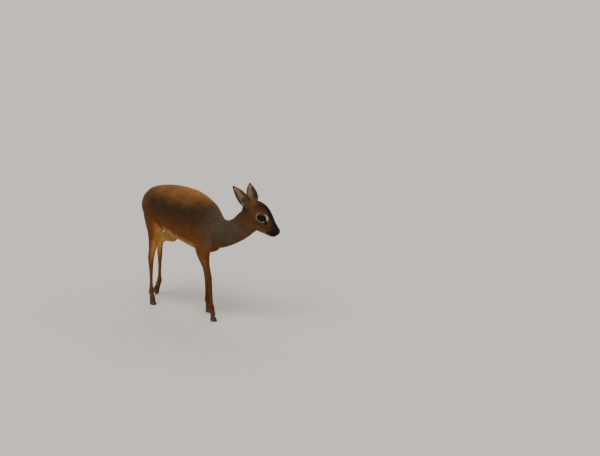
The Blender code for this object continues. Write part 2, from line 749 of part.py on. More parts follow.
def ear_object(name, side, out, back, up, facing):
    """A cupped leaf. out, back and up give its way to the tip, and facing turns its mouth outwards."""
    ahead = Vector((math.cos(HEAD_YAW), math.sin(HEAD_YAW), 0))
    outward = side * LEFT
    axis = (out * outward - back * ahead + up * Vector((0, 0, 1))).normalized()
    mouth = math.cos(facing) * ahead + math.sin(facing) * outward
    mouth = (mouth - mouth.dot(axis) * axis).normalized()
    across = axis.cross(mouth)
    root = head_point(EAR_BEHIND, EAR_LEVEL, side * EAR_SIDE)
    half = 9
    arc = np.linspace(0, math.pi, half)
    rings = []
    for share in np.linspace(-0.10, 1.0, 18):
        at = max(0.0, share)
        leaf = math.sin(math.pi * min(1.0, 0.11 + 0.89 * at) ** 0.92) ** 0.80
        width = EAR_HALF_WIDTH * max(0.07, leaf)
        cup = min(1.0, max(0.0, (share - 0.025) / 0.15))
        cup = cup * cup * (3 - 2 * cup)
        deep = EAR_DEPTH * max(0.08, leaf) * (1 - 0.45 * at)
        wall = min(EAR_WALL, deep * 0.6)
        inside = (1 - cup) * (-0.75 * deep) + cup * (deep - wall)
        rim = max(0.0005, width - cup * wall * 0.6)
        bend = 0.006 * at**2
        middle = root + axis * (EAR_LENGTH * share) - mouth * (bend - 0.35 * deep)
        turns = [(across * math.cos(a), mouth * math.sin(a)) for a in arc]
        outer_arc = [middle + wide_way * width - deep_way * deep for wide_way, deep_way in turns]
        inner_arc = [middle + wide_way * rim - deep_way * inside for wide_way, deep_way in turns[::-1]]
        lift = mouth * (0.0007 * cup)
        inner_arc[0] += lift
        inner_arc[-1] += lift
        rings.append([*outer_arc, *inner_arc])
    return rings_object(name, np.array(rings, float))


def build_ears():
    head = bpy.data.objects["head"]
    neck = bpy.data.objects["neck"]
    ears = {
        "ear_left": (1, 0.052, 0.0245, 0.0555, math.radians(-46)),
        "ear_right": (-1, 0.0215, 0.0365, 0.0675, math.radians(16)),
    }
    for name, pose in ears.items():
        ear = ear_object(name, *pose)
        carve(ear, swollen(head, GAP), swollen(neck, GAP))
        finish(ear, "ear")


def build_tail():
    tail = tube_object("tail", TAIL, per_span=3, sides=12)
    carve(tail, swollen(bpy.data.objects["torso"], GAP))
    finish(tail, "coat_back")


def centre_on_base():
    """Moves the whole model so that the origin is the bottom centre of its box."""
    objects = [o for o in bpy.data.objects if o.type == "MESH"]
    corners = np.array([v.co for o in objects for v in o.data.vertices])
    low, high = corners.min(0), corners.max(0)
    shift = Vector((-(low[0] + high[0]) / 2, -(low[1] + high[1]) / 2, -low[2]))
    for found in objects:
        found.data.transform(Matrix.Translation(shift))


def main():
    for found in list(bpy.data.objects):
        bpy.data.objects.remove(found)
    build_body()
    build_head()
    build_ears()
    build_tail()
    centre_on_base()


main()
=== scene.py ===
import math

import bmesh
import bpy
import numpy as np
from mathutils import Matrix, Vector


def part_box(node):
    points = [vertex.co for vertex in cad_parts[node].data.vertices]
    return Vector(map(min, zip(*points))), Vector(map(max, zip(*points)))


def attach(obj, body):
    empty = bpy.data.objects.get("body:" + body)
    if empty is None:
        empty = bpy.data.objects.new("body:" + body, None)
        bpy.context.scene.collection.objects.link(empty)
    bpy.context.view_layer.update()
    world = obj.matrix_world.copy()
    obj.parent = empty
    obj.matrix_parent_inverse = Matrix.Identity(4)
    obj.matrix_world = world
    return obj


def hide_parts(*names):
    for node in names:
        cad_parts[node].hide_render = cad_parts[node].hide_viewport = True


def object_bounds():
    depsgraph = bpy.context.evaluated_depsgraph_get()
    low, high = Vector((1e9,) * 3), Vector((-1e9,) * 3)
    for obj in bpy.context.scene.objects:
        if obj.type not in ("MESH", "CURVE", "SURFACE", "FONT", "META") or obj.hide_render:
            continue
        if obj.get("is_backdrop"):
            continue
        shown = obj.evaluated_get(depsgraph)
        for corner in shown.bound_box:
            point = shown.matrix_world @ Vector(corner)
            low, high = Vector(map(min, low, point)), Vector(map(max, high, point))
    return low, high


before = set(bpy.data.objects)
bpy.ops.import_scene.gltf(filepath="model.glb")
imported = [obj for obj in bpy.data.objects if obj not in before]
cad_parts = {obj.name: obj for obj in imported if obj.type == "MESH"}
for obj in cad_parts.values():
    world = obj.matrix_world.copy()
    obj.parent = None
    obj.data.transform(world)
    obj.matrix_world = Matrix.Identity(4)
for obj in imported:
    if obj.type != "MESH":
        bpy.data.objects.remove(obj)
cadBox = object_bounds()
print("frame loaded:", len(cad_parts), "nodes")

# what the solids were drawn with, in metres and degrees
drawing = {
    "foreFootMiddle": (0.2015, -0.0300),
    "headYaw": 32.0,
    "headPitch": 36.0,
    "eyeBehindNose": 0.0740,
    "eyeLevel": 0.0100,
    "eyeRadius": 0.0132,
    "eyeTurn": 20.0,
    "eyeLift": 6.0,
    "earBehindNose": 0.1265,
    "earLevel": 0.0090,
    "earSide": 0.0215,
    "earLength": 0.079,
    "earHalfWidth": 0.0205,
    "earLeft": (0.052, 0.0245, 0.0555, -46.0),
    "earRight": (0.0215, 0.0365, 0.0675, 16.0),
}


def unit(vectors):
    return vectors / (np.linalg.norm(vectors, axis=-1, keepdims=True) + 1e-12)


sides = (("left", 1), ("right", -1))


def distance(points, place):
    return np.linalg.norm(points - place, axis=1)


# ways laid flat on the surface with those normals
def laidFlat(ways, normals):
    return unit(ways - np.sum(ways * normals, axis=1, keepdims=True) * normals)


# 0 up to start, 1 from end on, eased between; start may be the larger
def ramp(values, start, end):
    share = np.clip((values - start) / (end - start), 0, 1)
    return share * share * (3 - 2 * share)


# 1 at the middle, falling away as a bell of that width
def bell(values, middle, width):
    return np.exp(-(((values - middle) / width) ** 2))


# part of the way from one value to another
def towards(value, other, share):
    return value + (other - value) * share


# the same for rows of colours or directions
def mixed(first, second, share):
    return towards(first, np.asarray(second), np.asarray(share)[..., None])


# a smooth random field from -1 to 1: the mean of eight sine waves in random directions, about one wave long
def wobble(points, wave, seed):
    dice = np.random.default_rng(seed)
    ways = unit(dice.normal(size=(8, 3))) * (2 * math.pi / (wave * dice.uniform(0.7, 1.4, (8, 1))))
    return np.sin(points @ ways.T + dice.uniform(0, 2 * math.pi, 8)).sum(1) / 4.2


# the drawing's zero in the frame, found from where the right fore hooves stand
def drawingZero():
    lows, highs = zip(*(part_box(f"hoof_foreleg_right_{side}") for side in ("left", "right")))
    middleX = (min(low.x for low in lows) + max(high.x for high in highs)) / 2
    middleY = (min(low.y for low in lows) + max(high.y for high in highs)) / 2
    return np.array([middleX - drawing["foreFootMiddle"][0], middleY - drawing["foreFootMiddle"][1], 0.0])


zero = drawingZero()
yaw, pitch = math.radians(drawing["headYaw"]), math.radians(drawing["headPitch"])
forward = np.array([math.cos(pitch) * math.cos(yaw), math.cos(pitch) * math.sin(yaw), -math.sin(pitch)])
left = np.array([-math.sin(yaw), math.cos(yaw), 0.0])
crown = np.cross(forward, left)
ahead = np.array([math.cos(yaw), math.sin(yaw), 0.0])
eyeCentres = {}
for sideName, side in sides:
    low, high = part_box("eye_" + sideName)
    eyeCentres[side] = (np.array(low) + np.array(high)) / 2
noseTip = (eyeCentres[1] + eyeCentres[-1]) / 2
noseTip += forward * drawing["eyeBehindNose"] - crown * drawing["eyeLevel"]


# a place given as distance behind the nose tip, level above it and distance to the left
def headPoint(behind, level, side):
    return noseTip - behind * forward + level * crown + side * left


def headPlaces(points):
    local = points - noseTip
    return -local @ forward, local @ crown, local @ left


# the axes of an eye: along the slit towards the nose, up, and out
def eyeAxes(side):
    turn, lift = math.radians(drawing["eyeTurn"]), math.radians(drawing["eyeLift"])
    sideways = side * math.cos(turn) * left + math.sin(turn) * forward
    out = unit(math.cos(lift) * sideways + math.sin(lift) * crown)
    slit = unit(forward + 0.22 * crown)
    slit = unit(slit - slit @ out * out)
    return slit, np.cross(out, slit) * -side, out


# the axes of an ear: from root to tip, across the mouth, and out of the mouth
def earAxes(side):
    out, back, up, facing = drawing["earLeft" if side > 0 else "earRight"]
    outward = side * left
    axis = unit(out * outward - back * ahead + up * np.array([0.0, 0.0, 1.0]))
    facing = math.radians(facing)
    mouth = math.cos(facing) * ahead + math.sin(facing) * outward
    mouth = unit(mouth - mouth @ axis * axis)
    root = headPoint(drawing["earBehindNose"], drawing["earLevel"], side * drawing["earSide"])
    return root, axis, np.cross(axis, mouth), mouth


# how much each point belongs to an ear, its share of the way to the tip, and its place across and out
def earPlaces(points, side):
    root, axis, across, mouth = earAxes(side)
    local = points - root
    share, wide, out = local @ axis / drawing["earLength"], local @ across, local @ mouth
    inside = ramp(share, 0.10, 0.20) * ramp(np.abs(wide), 0.030, 0.024) * ramp(np.abs(out), 0.034, 0.026)
    return inside * (share < 1.15), share, wide, out


def addObject(name, data):
    made = bpy.data.objects.new(name, data)
    bpy.context.scene.collection.objects.link(made)
    return made


def meshObject(name, points, faces):
    mesh = bpy.data.meshes.new(name)
    mesh.vertices.add(len(points))
    mesh.vertices.foreach_set("co", np.ascontiguousarray(points, np.float32).ravel())
    mesh.loops.add(faces.size)
    mesh.loops.foreach_set("vertex_index", np.ascontiguousarray(faces, np.int32).ravel())
    mesh.polygons.add(len(faces))
    mesh.polygons.foreach_set("loop_start", np.arange(0, faces.size, faces.shape[1], dtype=np.int32))
    mesh.update(calc_edges=True)
    mesh.shade_smooth()
    return addObject(name, mesh)


def readAll(collection, field, width, kind=float):
    values = np.empty(len(collection) * width, kind)
    collection.foreach_get(field, values)
    return values.reshape(-1, width)


def pointsOf(made):
    return readAll(made.data.vertices, "co", 3)


def normalsOf(made):
    return readAll(made.data.vertices, "normal", 3)


def setPoints(made, points):
    made.data.vertices.foreach_set("co", np.ascontiguousarray(points, np.float32).ravel())
    made.data.update()


def setColours(made, name, colours):
    layer = made.data.color_attributes.new(name, "FLOAT_COLOR", "POINT")
    full = np.ones((len(colours), 4), np.float32)
    full[:, :3] = np.clip(colours, 0, 1)
    layer.data.foreach_set("color", full.ravel())


def applyModifiers(made):
    bpy.context.view_layer.update()
    graph = bpy.context.evaluated_depsgraph_get()
    mesh = bpy.data.meshes.new_from_object(made.evaluated_get(graph))
    old = made.data
    made.modifiers.clear()
    made.data = mesh
    bpy.data.meshes.remove(old)


# evens a surface: each point goes part of the way to its neighbours' mean, then most of the way back
def evened(points, edges, rounds, weight, pull=0.5, pushBack=-0.40):
    ends = np.concatenate([edges, edges[:, ::-1]])
    count = np.bincount(ends[:, 0], minlength=len(points))[:, None]
    points = points.copy()
    for _ in range(rounds):
        for step in (pull, pushBack):
            total = [np.bincount(ends[:, 0], points[ends[:, 1], i], len(points)) for i in range(3)]
            points += weight[:, None] * step * (np.stack(total, axis=1) / count - points)
    return points


# markings: linear colours of the coat and the bare skin; a few carry painted light and shade, as noted
# above them
markings = {
    # the back's own tan, made lighter by painted sunlight on the top
    "back": (0.420, 0.190, 0.058),
    "rump": (0.215, 0.108, 0.038),
    "upperFlank": (0.084, 0.044, 0.018),
    "lowerFlank": (0.262, 0.088, 0.023),
    "elbow": (0.4061, 0.1364, 0.03565),
    "belly": (0.620, 0.360, 0.120),
    "neck": (0.146, 0.108, 0.070),
    "neckUnder": (0.190, 0.108, 0.050),
    "leg": (0.245, 0.086, 0.024),
    "legFront": (0.130, 0.044, 0.014),
    "innerLeg": (0.340, 0.150, 0.046),
    # a paler tan band: paler belly fur with painted light from behind and below
    "groinLight": (0.720, 0.340, 0.082),
    "face": (0.122, 0.059, 0.025),
    "jaw": (0.1891, 0.09145, 0.03875),
    "bridge": (0.026, 0.013, 0.007),
    "muzzle": (0.019, 0.011, 0.008),
    "crownTuft": (0.082, 0.036, 0.014),
    "earBase": (0.270, 0.096, 0.026),
    "throat": (0.190, 0.100, 0.046),
    "chin": (0.300, 0.215, 0.140),
    # painted shade inside the nostrils' openings
    "nostril": (0.003, 0.002, 0.002),
    "eyeRing": (0.600, 0.540, 0.440),
    "lid": (0.008, 0.006, 0.006),
    "gland": (0.006, 0.005, 0.005),
    "nosePad": (0.014, 0.011, 0.011),
    "earBack": (0.120, 0.062, 0.032),
    "earRim": (0.034, 0.015, 0.009),
    "earInside": (0.330, 0.195, 0.138),
    # painted shade inside the ear's hollow and along its inner edge
    "earHollowShade": (0.026, 0.015, 0.011),
    "earHair": (0.540, 0.400, 0.190),
    "coronet": (0.120, 0.046, 0.017),
}


footCentres = []
for limb in ("foreleg", "hindleg"):
    for sideName in ("left", "right"):
        boxes = [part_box(f"hoof_{limb}_{sideName}_{half}") for half in ("left", "right")]
        corners = np.array([list(corner) for box in boxes for corner in box])
        footCentres.append((corners.min(0) + corners.max(0)) / 2)


# how far each point is from the middle of the nearest foot
def footDistance(points):
    return np.min([distance(points, place) for place in footCentres], axis=0)


# how high a point is over the belly's lowest line, which is a shallow parabola from brisket to groin
def overBelly(x, z):
    return z - (0.2225 - 0.19 * x + 0.32 * x**2)


# how much each point belongs to each region of the body, from 0 to 1
def bodyShares(points, normals):
    x, y, z = (points - zero).T
    behind, level, _ = headPlaces(points)
    shares = {}
    overThroat = ramp(level, -0.066, -0.046) * (z > 0.215) * (behind > -0.02)
    shares["head"] = ramp(behind, 0.150, 0.118) * overThroat
    shares["face"] = ramp(behind, 0.088, 0.060) * overThroat
    shares["ear"] = np.max([earPlaces(points, side)[0] for side in (1, -1)], axis=0)
    shares["neck"] = ramp(x, 0.135, 0.205) * ramp(z, 0.206, 0.246) * (1 - shares["head"])
    shares["leg"] = ramp(z, 0.246, 0.196)
    shares["tail"] = ramp(x, -0.1805, -0.1845) * (z > 0.282) * ramp(np.abs(y - 0.002), 0.016, 0.011)
    shares["foot"] = ramp(footDistance(points), 0.034, 0.018)
    between = ramp(x, -0.110, -0.075) * ramp(x, 0.125, 0.095)
    low = ramp(overBelly(x, z) + 0.0025 * wobble(points, 0.030, 7), 0.017, 0.004) * between
    facingDown = ramp(normals[:, 2], -0.35, -0.80) * ramp(x, -0.150, -0.125) * ramp(x, 0.14, 0.10)
    facingDown = facingDown * ramp(overBelly(x, z), 0.045, 0.030)
    under = np.maximum(low, facingDown) * ramp(np.abs(y), 0.046, 0.034)
    under = under * ramp(overBelly(x, z), -0.032, -0.008)
    inThigh = ramp(-np.sign(y) * normals[:, 1], 0.25, 0.75) * ramp(z, 0.120, 0.185) * (x < -0.03)
    shares["belly"] = np.maximum(under, inThigh)
    # the groin band along the belly's lower line before the thigh: paler belly fur with painted light from
    # behind and below
    rough = 0.006 * wobble(points, 0.026, 8)
    edge = 0.268 - 0.036 * np.clip((x + 0.036) / 0.15, 0, 1) + rough
    pastThigh = x + 0.036 + 0.61 * (0.268 - z) + rough
    shares["groinLight"] = ramp(z, edge + 0.006, edge - 0.010) * ramp(pastThigh, -0.008, 0.010)
    above = np.where(x > 0, ramp(overBelly(x, z), -0.010, 0.006), ramp(z, 0.150, 0.215))
    shares["groinLight"] = shares["groinLight"] * ramp(x, 0.128, 0.092) * above
    return shares


almond = {"halfLong": 0.0128, "halfHigh": 0.0106}


# how far from an eye's centre a point is across its slit's plane, as a share of the lids' almond
def eyeShare(points, side):
    slit, up, out = eyeAxes(side)
    local = points - eyeCentres[side]
    slitWay, upWay, outWay = local @ slit, local @ up, local @ out
    reach = np.sqrt((slitWay / almond["halfLong"]) ** 2 + (upWay / almond["halfHigh"]) ** 2)
    return reach, slitWay, upWay, outWay


def plain(name, points):
    return np.tile(markings[name], (len(points), 1))


# lays named markings over a colour one after the other, each by its share
def layered(colour, layers):
    for name, share in layers:
        colour = mixed(colour, markings[name], share)
    return colour


# the legs: darker down their fronts, paler inside, and the forelegs darkened by painted shade, most of all
# low down
def legColour(points, normals):
    x, y, z = (points - zero).T
    colour = layered(plain("leg", points), [("legFront", ramp(normals[:, 0], 0.25, 0.85) * 0.75)])
    onFore = ramp(x, 0.0, 0.05)
    # painted shade over the forelegs, deepest low down
    colour *= (1 - 0.30 * onFore * ramp(z, 0.20, 0.13) - 0.12 * onFore)[:, None]
    middleY = np.where(x > 0, 0.031, 0.045)
    inner = ramp(-np.sign(y) * normals[:, 1], 0.35, 0.85) * (np.abs(np.abs(y) - middleY) < 0.022)
    return layered(colour, [("innerLeg", inner * ramp(z, 0.06, 0.17) * 0.8)])


# the body: tan back lightened on top by painted sunlight, dark upper flank and rufous lower flank by
# height, then rump, neck, legs and belly, and painted light along the belly's lower line and the thigh's
# front
def bodyColour(points, normals, shares, broad, fine):
    x, _, z = (points - zero).T
    height = (z - 0.213) / 0.178 + 0.030 * broad + 0.015 * fine
    elbow = ramp(x, 0.075, 0.125) * ramp(z, 0.262, 0.232) * ramp(z, 0.180, 0.205)
    colour = layered(plain("upperFlank", points), [
        # the top's tan, with painted sunlight in it
        ("back", ramp(height, 0.66, 1.02)),
        ("lowerFlank", ramp(height, 0.68, 0.22)),
        ("elbow", 0.8 * elbow),
        ("rump", ramp(x, -0.070, -0.150) * ramp(height, 0.25, 0.80)),
    ])
    neck = layered(plain("neckUnder", points), [("neck", ramp(normals[:, 2], -0.60, 0.10))])
    colour = mixed(colour, neck, ramp(x + 0.006 * broad, 0.112, 0.224) * ramp(z, 0.208, 0.258))
    colour = mixed(colour, legColour(points, normals), shares["leg"])
    # the thigh's front edge, given painted light from behind and below
    thighFrontLight = ramp(normals[:, 0], 0.05, 0.60) * ramp(x, -0.030, -0.050)
    thighFrontLight = thighFrontLight * ramp(z, 0.285, 0.262) * ramp(z, 0.120, 0.190)
    return layered(colour, [
        # painted light along the belly's lower line and the thigh's front
        ("groinLight", np.maximum(shares["groinLight"], 0.75 * thighFrontLight) * 0.9),
        ("belly", shares["belly"] * 0.92),
        ("coronet", ramp(shares["foot"], 0.45, 0.95)),
        ("belly", shares["tail"] * ramp(normals[:, 0], -0.1, 0.5) * 0.8),
    ])


# the head: reddish crown, dark bridge and muzzle, and a paler jaw, throat and chin
def headColour(points):
    behind, level, across = headPlaces(points)
    jaw = level + 0.10 * behind
    bridge = ramp(level, -0.004, 0.010) * ramp(np.abs(across) - 0.045 * behind, 0.0125, 0.0060)
    throat = ramp(jaw, -0.018, -0.034) * ramp(behind, 0.022, 0.045) * ramp(behind, 0.104, 0.082)
    return layered(plain("face", points), [
        ("crownTuft", ramp(level, 0.014, 0.034) * ramp(behind, 0.060, 0.090)),
        ("bridge", bridge * ramp(behind, 0.118, 0.075)),
        ("muzzle", ramp(behind, 0.046, 0.014) * ramp(level, -0.024, -0.016)),
        ("jaw", ramp(jaw, -0.006, -0.017) * ramp(behind, 0.024, 0.040) * ramp(behind, 0.085, 0.065)),
        ("throat", 0.60 * throat),
        ("chin", ramp(jaw, -0.0190, -0.0245) * ramp(behind, 0.050, 0.034)),
    ])


# the marks about an eye: a rufous patch before the ear, the white ring, the dark lid and the gland;
# the ring is widest in front and thinnest on top
def eyeMarks(colour, points, shares, side):
    root = headPoint(0.1210, 0.0275, side * 0.0140)
    patch = ramp(np.linalg.norm((points - root) * (1, 1, 0.8), axis=1), 0.0165, 0.0060)
    reach, slitWay, upWay, outWay = eyeShare(points, side)
    near = shares["head"] * (outWay > -0.006)
    angle = np.degrees(np.arctan2(upWay / almond["halfHigh"], slitWay / almond["halfLong"]))
    inFront, onTop = bell(angle, 10, 46), bell(angle, 95, 45)
    ringWide = 1.37 + 0.47 * inFront - 0.12 * onTop
    ring = ramp(reach, ringWide, ringWide - 0.14) * (0.60 + 0.40 * np.maximum(inFront, onTop))
    oval, track = glandShares(points, side)
    return layered(colour, [
        ("earBase", patch * 0.72 * (1 - shares["ear"]) * shares["head"]),
        ("eyeRing", ring * near),
        ("lid", ramp(reach, 1.22, 1.14) * near),
        ("gland", np.maximum(ramp(oval, 1.12, 0.80), track) * shares["head"]),
    ])


# the level of the line between the lips, a parabola that falls towards the cheek
def mouthLevel(behind):
    return -0.0152 - 0.10 * behind - 2.2 * behind**2


# the bare nose pad, its nostrils darkened by painted shade of their openings, and the dark lips
def noseMarks(colour, points, head):
    behind, level, _ = headPlaces(points)
    lips = ramp(np.abs(level - mouthLevel(behind)), 0.0018, 0.0009) * ramp(behind, 0.038, 0.033)
    layers = [("nosePad", padShare(points) * head)]
    # the nostrils get painted shade of their openings
    layers += [("nostril", ramp(nostrilReach(points, side), 1.15, 0.80) * head) for side in (1, -1)]
    return layered(colour, layers + [("nosePad", lips * head * 0.85)])


# an ear: its back, its inside where it faces out of the mouth, and a dark rim towards the tip
def earColour(points, normals, side, share, wide):
    medial = wide / earReach(share) * earMedial(side)
    facing = ramp(normals @ earAxes(side)[3], 0.0, 0.35)
    rim = np.maximum(ramp(np.abs(medial), 0.82, 0.97), ramp(share, 0.88, 0.98))
    ear = mixed(plain("earBack", points), earShade(share, medial), facing)
    return layered(ear, [("earRim", rim * ramp(share, 0.20, 0.45) * 0.9)])


# the whole coat's colour, with soft blotches over it
def coatColour(points, normals):
    shares = bodyShares(points, normals)
    broad, fine = wobble(points, 0.085, 3), wobble(points, 0.022, 4)
    colour = bodyColour(points, normals, shares, broad, fine)
    colour = mixed(colour, headColour(points), shares["head"])
    for side in (1, -1):
        colour = eyeMarks(colour, points, shares, side)
    colour = noseMarks(colour, points, shares["head"])
    for side in (1, -1):
        member, share, wide, _ = earPlaces(points, side)
        colour = mixed(colour, earColour(points, normals, side, share, wide), member)
    return colour * (1 + 0.07 * fine + 0.05 * broad)[:, None]


# the colour inside an ear by share of its length and place from its outer edge, -1, to its inner edge, 1:
# a pale stripe towards the inner edge, a broad dark outer rim, and painted shade along the inner edge and
# in the hollow low down
def earShade(share, medial):
    stripe = bell(medial + 0.25 * (share - 0.6), 0.34, 0.24) * ramp(share, 0.30, 0.52)
    return layered(plain("earInside", share), [
        ("earHair", stripe * ramp(share, 0.96, 0.80) * 0.75),
        ("earRim", ramp(medial, -0.32, -0.68) * ramp(share, 0.16, 0.34) * 0.92),
        # painted shade along the inner edge, then in the hollow low down
        ("earHollowShade", ramp(medial, 0.52, 0.78) * ramp(share, 0.74, 0.52) * 0.85),
        ("earHollowShade", ramp(share, 0.46, 0.30) * ramp(medial, -0.35, 0.10) * 0.9),
        ("earHair", ramp(share, 0.20, 0.12) * 0.6),
    ])


# 1 or -1: which way across an ear leads to the middle of the head
def earMedial(side):
    return 1 if earAxes(side)[2] @ (-side * left) > 0 else -1


# the leaf's half width along an ear: a sine that swells early and closes at the tip
def earReach(share):
    leaf = np.sin(np.pi * np.clip(0.11 + 0.89 * np.clip(share, 0, 1), 0, 1) ** 0.92) ** 0.80
    return drawing["earHalfWidth"] * np.maximum(leaf, 0.08)


# a gland's place behind the nose tip and its level
glandPlace = (0.0500, 0.0030)


# the dark gland before an eye: an oval's reach, and the black track to it from the eye's front corner
def glandShares(points, side):
    local = points - headPoint(*glandPlace, 0)
    along, upright = local @ unit(forward - 1.05 * crown), local @ unit(crown + 1.05 * forward)
    facing = side * headPlaces(points)[2] > 0.004
    oval = np.where(facing, np.sqrt((along / 0.0066) ** 2 + (upright / 0.0050) ** 2), 9.0)
    track = ramp(np.abs(upright - 0.0004), 0.0042, 0.0026)
    track = track * ramp(along, -0.019, -0.014) * ramp(along, 0.001, -0.003)
    return oval, track * facing


# the bare nose pad: the front 7 mm of the nose, down to the lip's edge
def padShare(points):
    behind, level, _ = headPlaces(points)
    edge = 0.0070 + 0.0006 * wobble(points, 0.004, 15) - 0.10 * np.abs(level + 0.002)
    upDown = ramp(level, -0.0112, -0.0095) * ramp(level, 0.0070, 0.0055)
    return ramp(behind, edge + 0.0006, edge - 0.0008) * upDown


# how far a point is from a nostril's middle, as a share of its long, bent oval
def nostrilReach(points, side):
    behind, level, across = headPlaces(points)
    back, rise = behind - 0.0050, level + 0.0015
    along, beside = 0.62 * back + 0.78 * rise, 0.78 * back - 0.62 * rise
    beside = beside - 70.0 * along**2
    return np.where(side * across > 0.0025, np.sqrt((along / 0.0034) ** 2 + (beside / 0.0012) ** 2), 9.0)


# bare, moist skin: nose pad, lid edge, gland and the inside of the ears
def bareShare(points, normals):
    bare = padShare(points) * (points[:, 2] > 0.2)
    for side in (1, -1):
        reach, _, _, outWay = eyeShare(points, side)
        inEar = earPlaces(points, side)[0] * ramp(normals @ earAxes(side)[3], 0.0, 0.35)
        for share in (
            ramp(reach, 1.12, 1.02) * (outWay > 0),
            ramp(glandShares(points, side)[0], 1.0, 0.7),
            inEar * 0.55,
        ):
            bare = np.maximum(bare, share)
    return bare


# the skin's sizes: its grain, how far its parts swell to meet, how deep the fur is over it,
# and how far the ear tips are drawn out
skinSizes = {
    "voxel": 0.00105,
    "grow": 0.0004,
    "earGrow": 0.0008,
    "triangles": 192000,
    "torsoDepth": 0.0036,
    "neckDepth": 0.0030,
    "headDepth": 0.0009,
    "crownDepth": 0.0006,
    "eyeDepth": 0.0004,
    "legDepth": 0.0007,
    "earDepth": 0.0001,
    "tailDepth": 0.0024,
    "hoofDepth": -0.0003,
    "earTip": 0.0030,
}
fleshNodes = ["torso", "neck", "head", "tail", "ear_left", "ear_right"]
for limb, upper in (("foreleg", "forearm"), ("hindleg", "gaskin")):
    for sideName in ("left", "right"):
        fleshNodes += [f"{limb}_{sideName}_{upper}", f"{limb}_{sideName}_cannon"]


# how deep the fur is over the skin, by place; below nothing where the skin reaches into the hoof's top
def coatDepth(points, normals):
    shares = bodyShares(points, normals)
    behind, level, _ = headPlaces(points)
    depth = towards(skinSizes["torsoDepth"], skinSizes["legDepth"], ramp(points[:, 2], 0.262, 0.195))
    depth = towards(depth, skinSizes["neckDepth"], shares["neck"])
    headDepth = skinSizes["headDepth"] * (0.45 + 0.55 * ramp(behind, 0.010, 0.045))
    headDepth = headDepth + skinSizes["crownDepth"] * ramp(level, 0.022, 0.038)
    depth = towards(depth, headDepth, shares["head"])
    for side in (1, -1):
        reach = distance(points, eyeCentres[side])
        depth = towards(depth, skinSizes["eyeDepth"], ramp(reach, 0.0225, 0.0165))
    depth = towards(depth, skinSizes["earDepth"], shares["ear"])
    depth = towards(depth, skinSizes["tailDepth"], shares["tail"])
    return towards(depth, skinSizes["hoofDepth"], ramp(shares["foot"], 0.35, 0.85))


# one surface over all flesh nodes: their copies are swollen until the thin cuts close, and fused by voxels
def fusedFlesh():
    joined = bmesh.new()
    for name in fleshNodes:
        part = bmesh.new()
        part.from_mesh(bpy.data.objects[name].data)
        bmesh.ops.remove_doubles(part, verts=part.verts, dist=0.00001)
        part.normal_update()
        reach = skinSizes["earGrow"] if name.startswith("ear") else skinSizes["grow"]
        moved = [vertex.co + reach * vertex.normal for vertex in part.verts]
        for vertex, place in zip(part.verts, moved):
            vertex.co = place
        mesh = bpy.data.meshes.new("part")
        part.to_mesh(mesh)
        part.free()
        joined.from_mesh(mesh)
        bpy.data.meshes.remove(mesh)
    mesh = bpy.data.meshes.new("skin")
    joined.to_mesh(mesh)
    joined.free()
    skin = addObject("skin", mesh)
    fuse = skin.modifiers.new("fuse", "REMESH")
    fuse.mode = "VOXEL"
    fuse.voxel_size = skinSizes["voxel"]
    applyModifiers(skin)
    refine(skin)
    print("skin fused:", len(skin.data.vertices), "points")
    return skin


# decimates a surface to its triangles: the finer a place, the more points stay, and all of them past 1.1
def thinOut(skin, fine):
    keep = skin.vertex_groups.new(name="coarse")
    keep.add(np.nonzero(fine > 1.1)[0].tolist(), 0.0, "REPLACE")
    fine[fine > 1.1] = -1
    for low in np.linspace(0, 0.75, 4):
        chosen = np.nonzero((fine >= low) & (fine < low + 0.25 + (low > 0.7)))[0]
        keep.add(chosen.tolist(), 1 - low, "REPLACE")
    thin = skin.modifiers.new("thin", "DECIMATE")
    thin.vertex_group = "coarse"
    thin.vertex_group_factor = 0.6
    thin.ratio = min(1.0, skinSizes["triangles"] / (2 * len(skin.data.polygons)))
    thin.use_collapse_triangulate = True
    applyModifiers(skin)
    skin.vertex_groups.clear()
    skin.data.shade_smooth()
    print("skin thinned:", len(skin.data.polygons), "triangles")


# the fused flesh is evened, drawn in along its normals by the coat's depth, sculpted and thinned
def buildSkin():
    skin = fusedFlesh()
    points, edges = pointsOf(skin), readAll(skin.data.edges, "vertices", 2, np.int64)
    behind = headPlaces(points)[0]
    eyeReach = np.min([distance(points, eyeCentres[side]) for side in (1, -1)], axis=0)
    ears = np.max([earPlaces(points, side)[0] for side in (1, -1)], axis=0)
    face = ramp(behind, 0.100, 0.085) * (points[:, 2] > 0.24)
    soft = (1 - 0.80 * face) * ramp(eyeReach, 0.016, 0.024) * (1 - ears)
    points = evened(points, edges, 12, soft, pushBack=-0.30)
    points = evened(points, edges, 3, np.clip(0.35 + soft, 0, 0.8), pushBack=-0.45)
    points = evened(points, edges, 10, ears, pull=0.6, pushBack=-0.62)
    setPoints(skin, points)
    normals = normalsOf(skin)
    grown = skinSizes["grow"] + (skinSizes["earGrow"] - skinSizes["grow"]) * ears
    points = points - normals * (grown + coatDepth(points, normals))[:, None]
    points = evened(points, edges, 2, np.full(len(points), 0.5) * (1 - ears))
    setPoints(skin, points)
    points = sculpted(points, normalsOf(skin))
    for side in (1, -1):
        member, share, _, _ = earPlaces(points, side)
        stretch = member * skinSizes["earTip"] * ramp(share, 0.45, 1.0)
        points = points + stretch[:, None] * earAxes(side)[1]
    setPoints(skin, points)
    kept = np.maximum(ramp(behind, 0.014, 0.011) * face, ramp(eyeReach, 0.020, 0.018))
    thinOut(skin, np.maximum(np.maximum(face, ears), 1.2 * kept))
    return skin


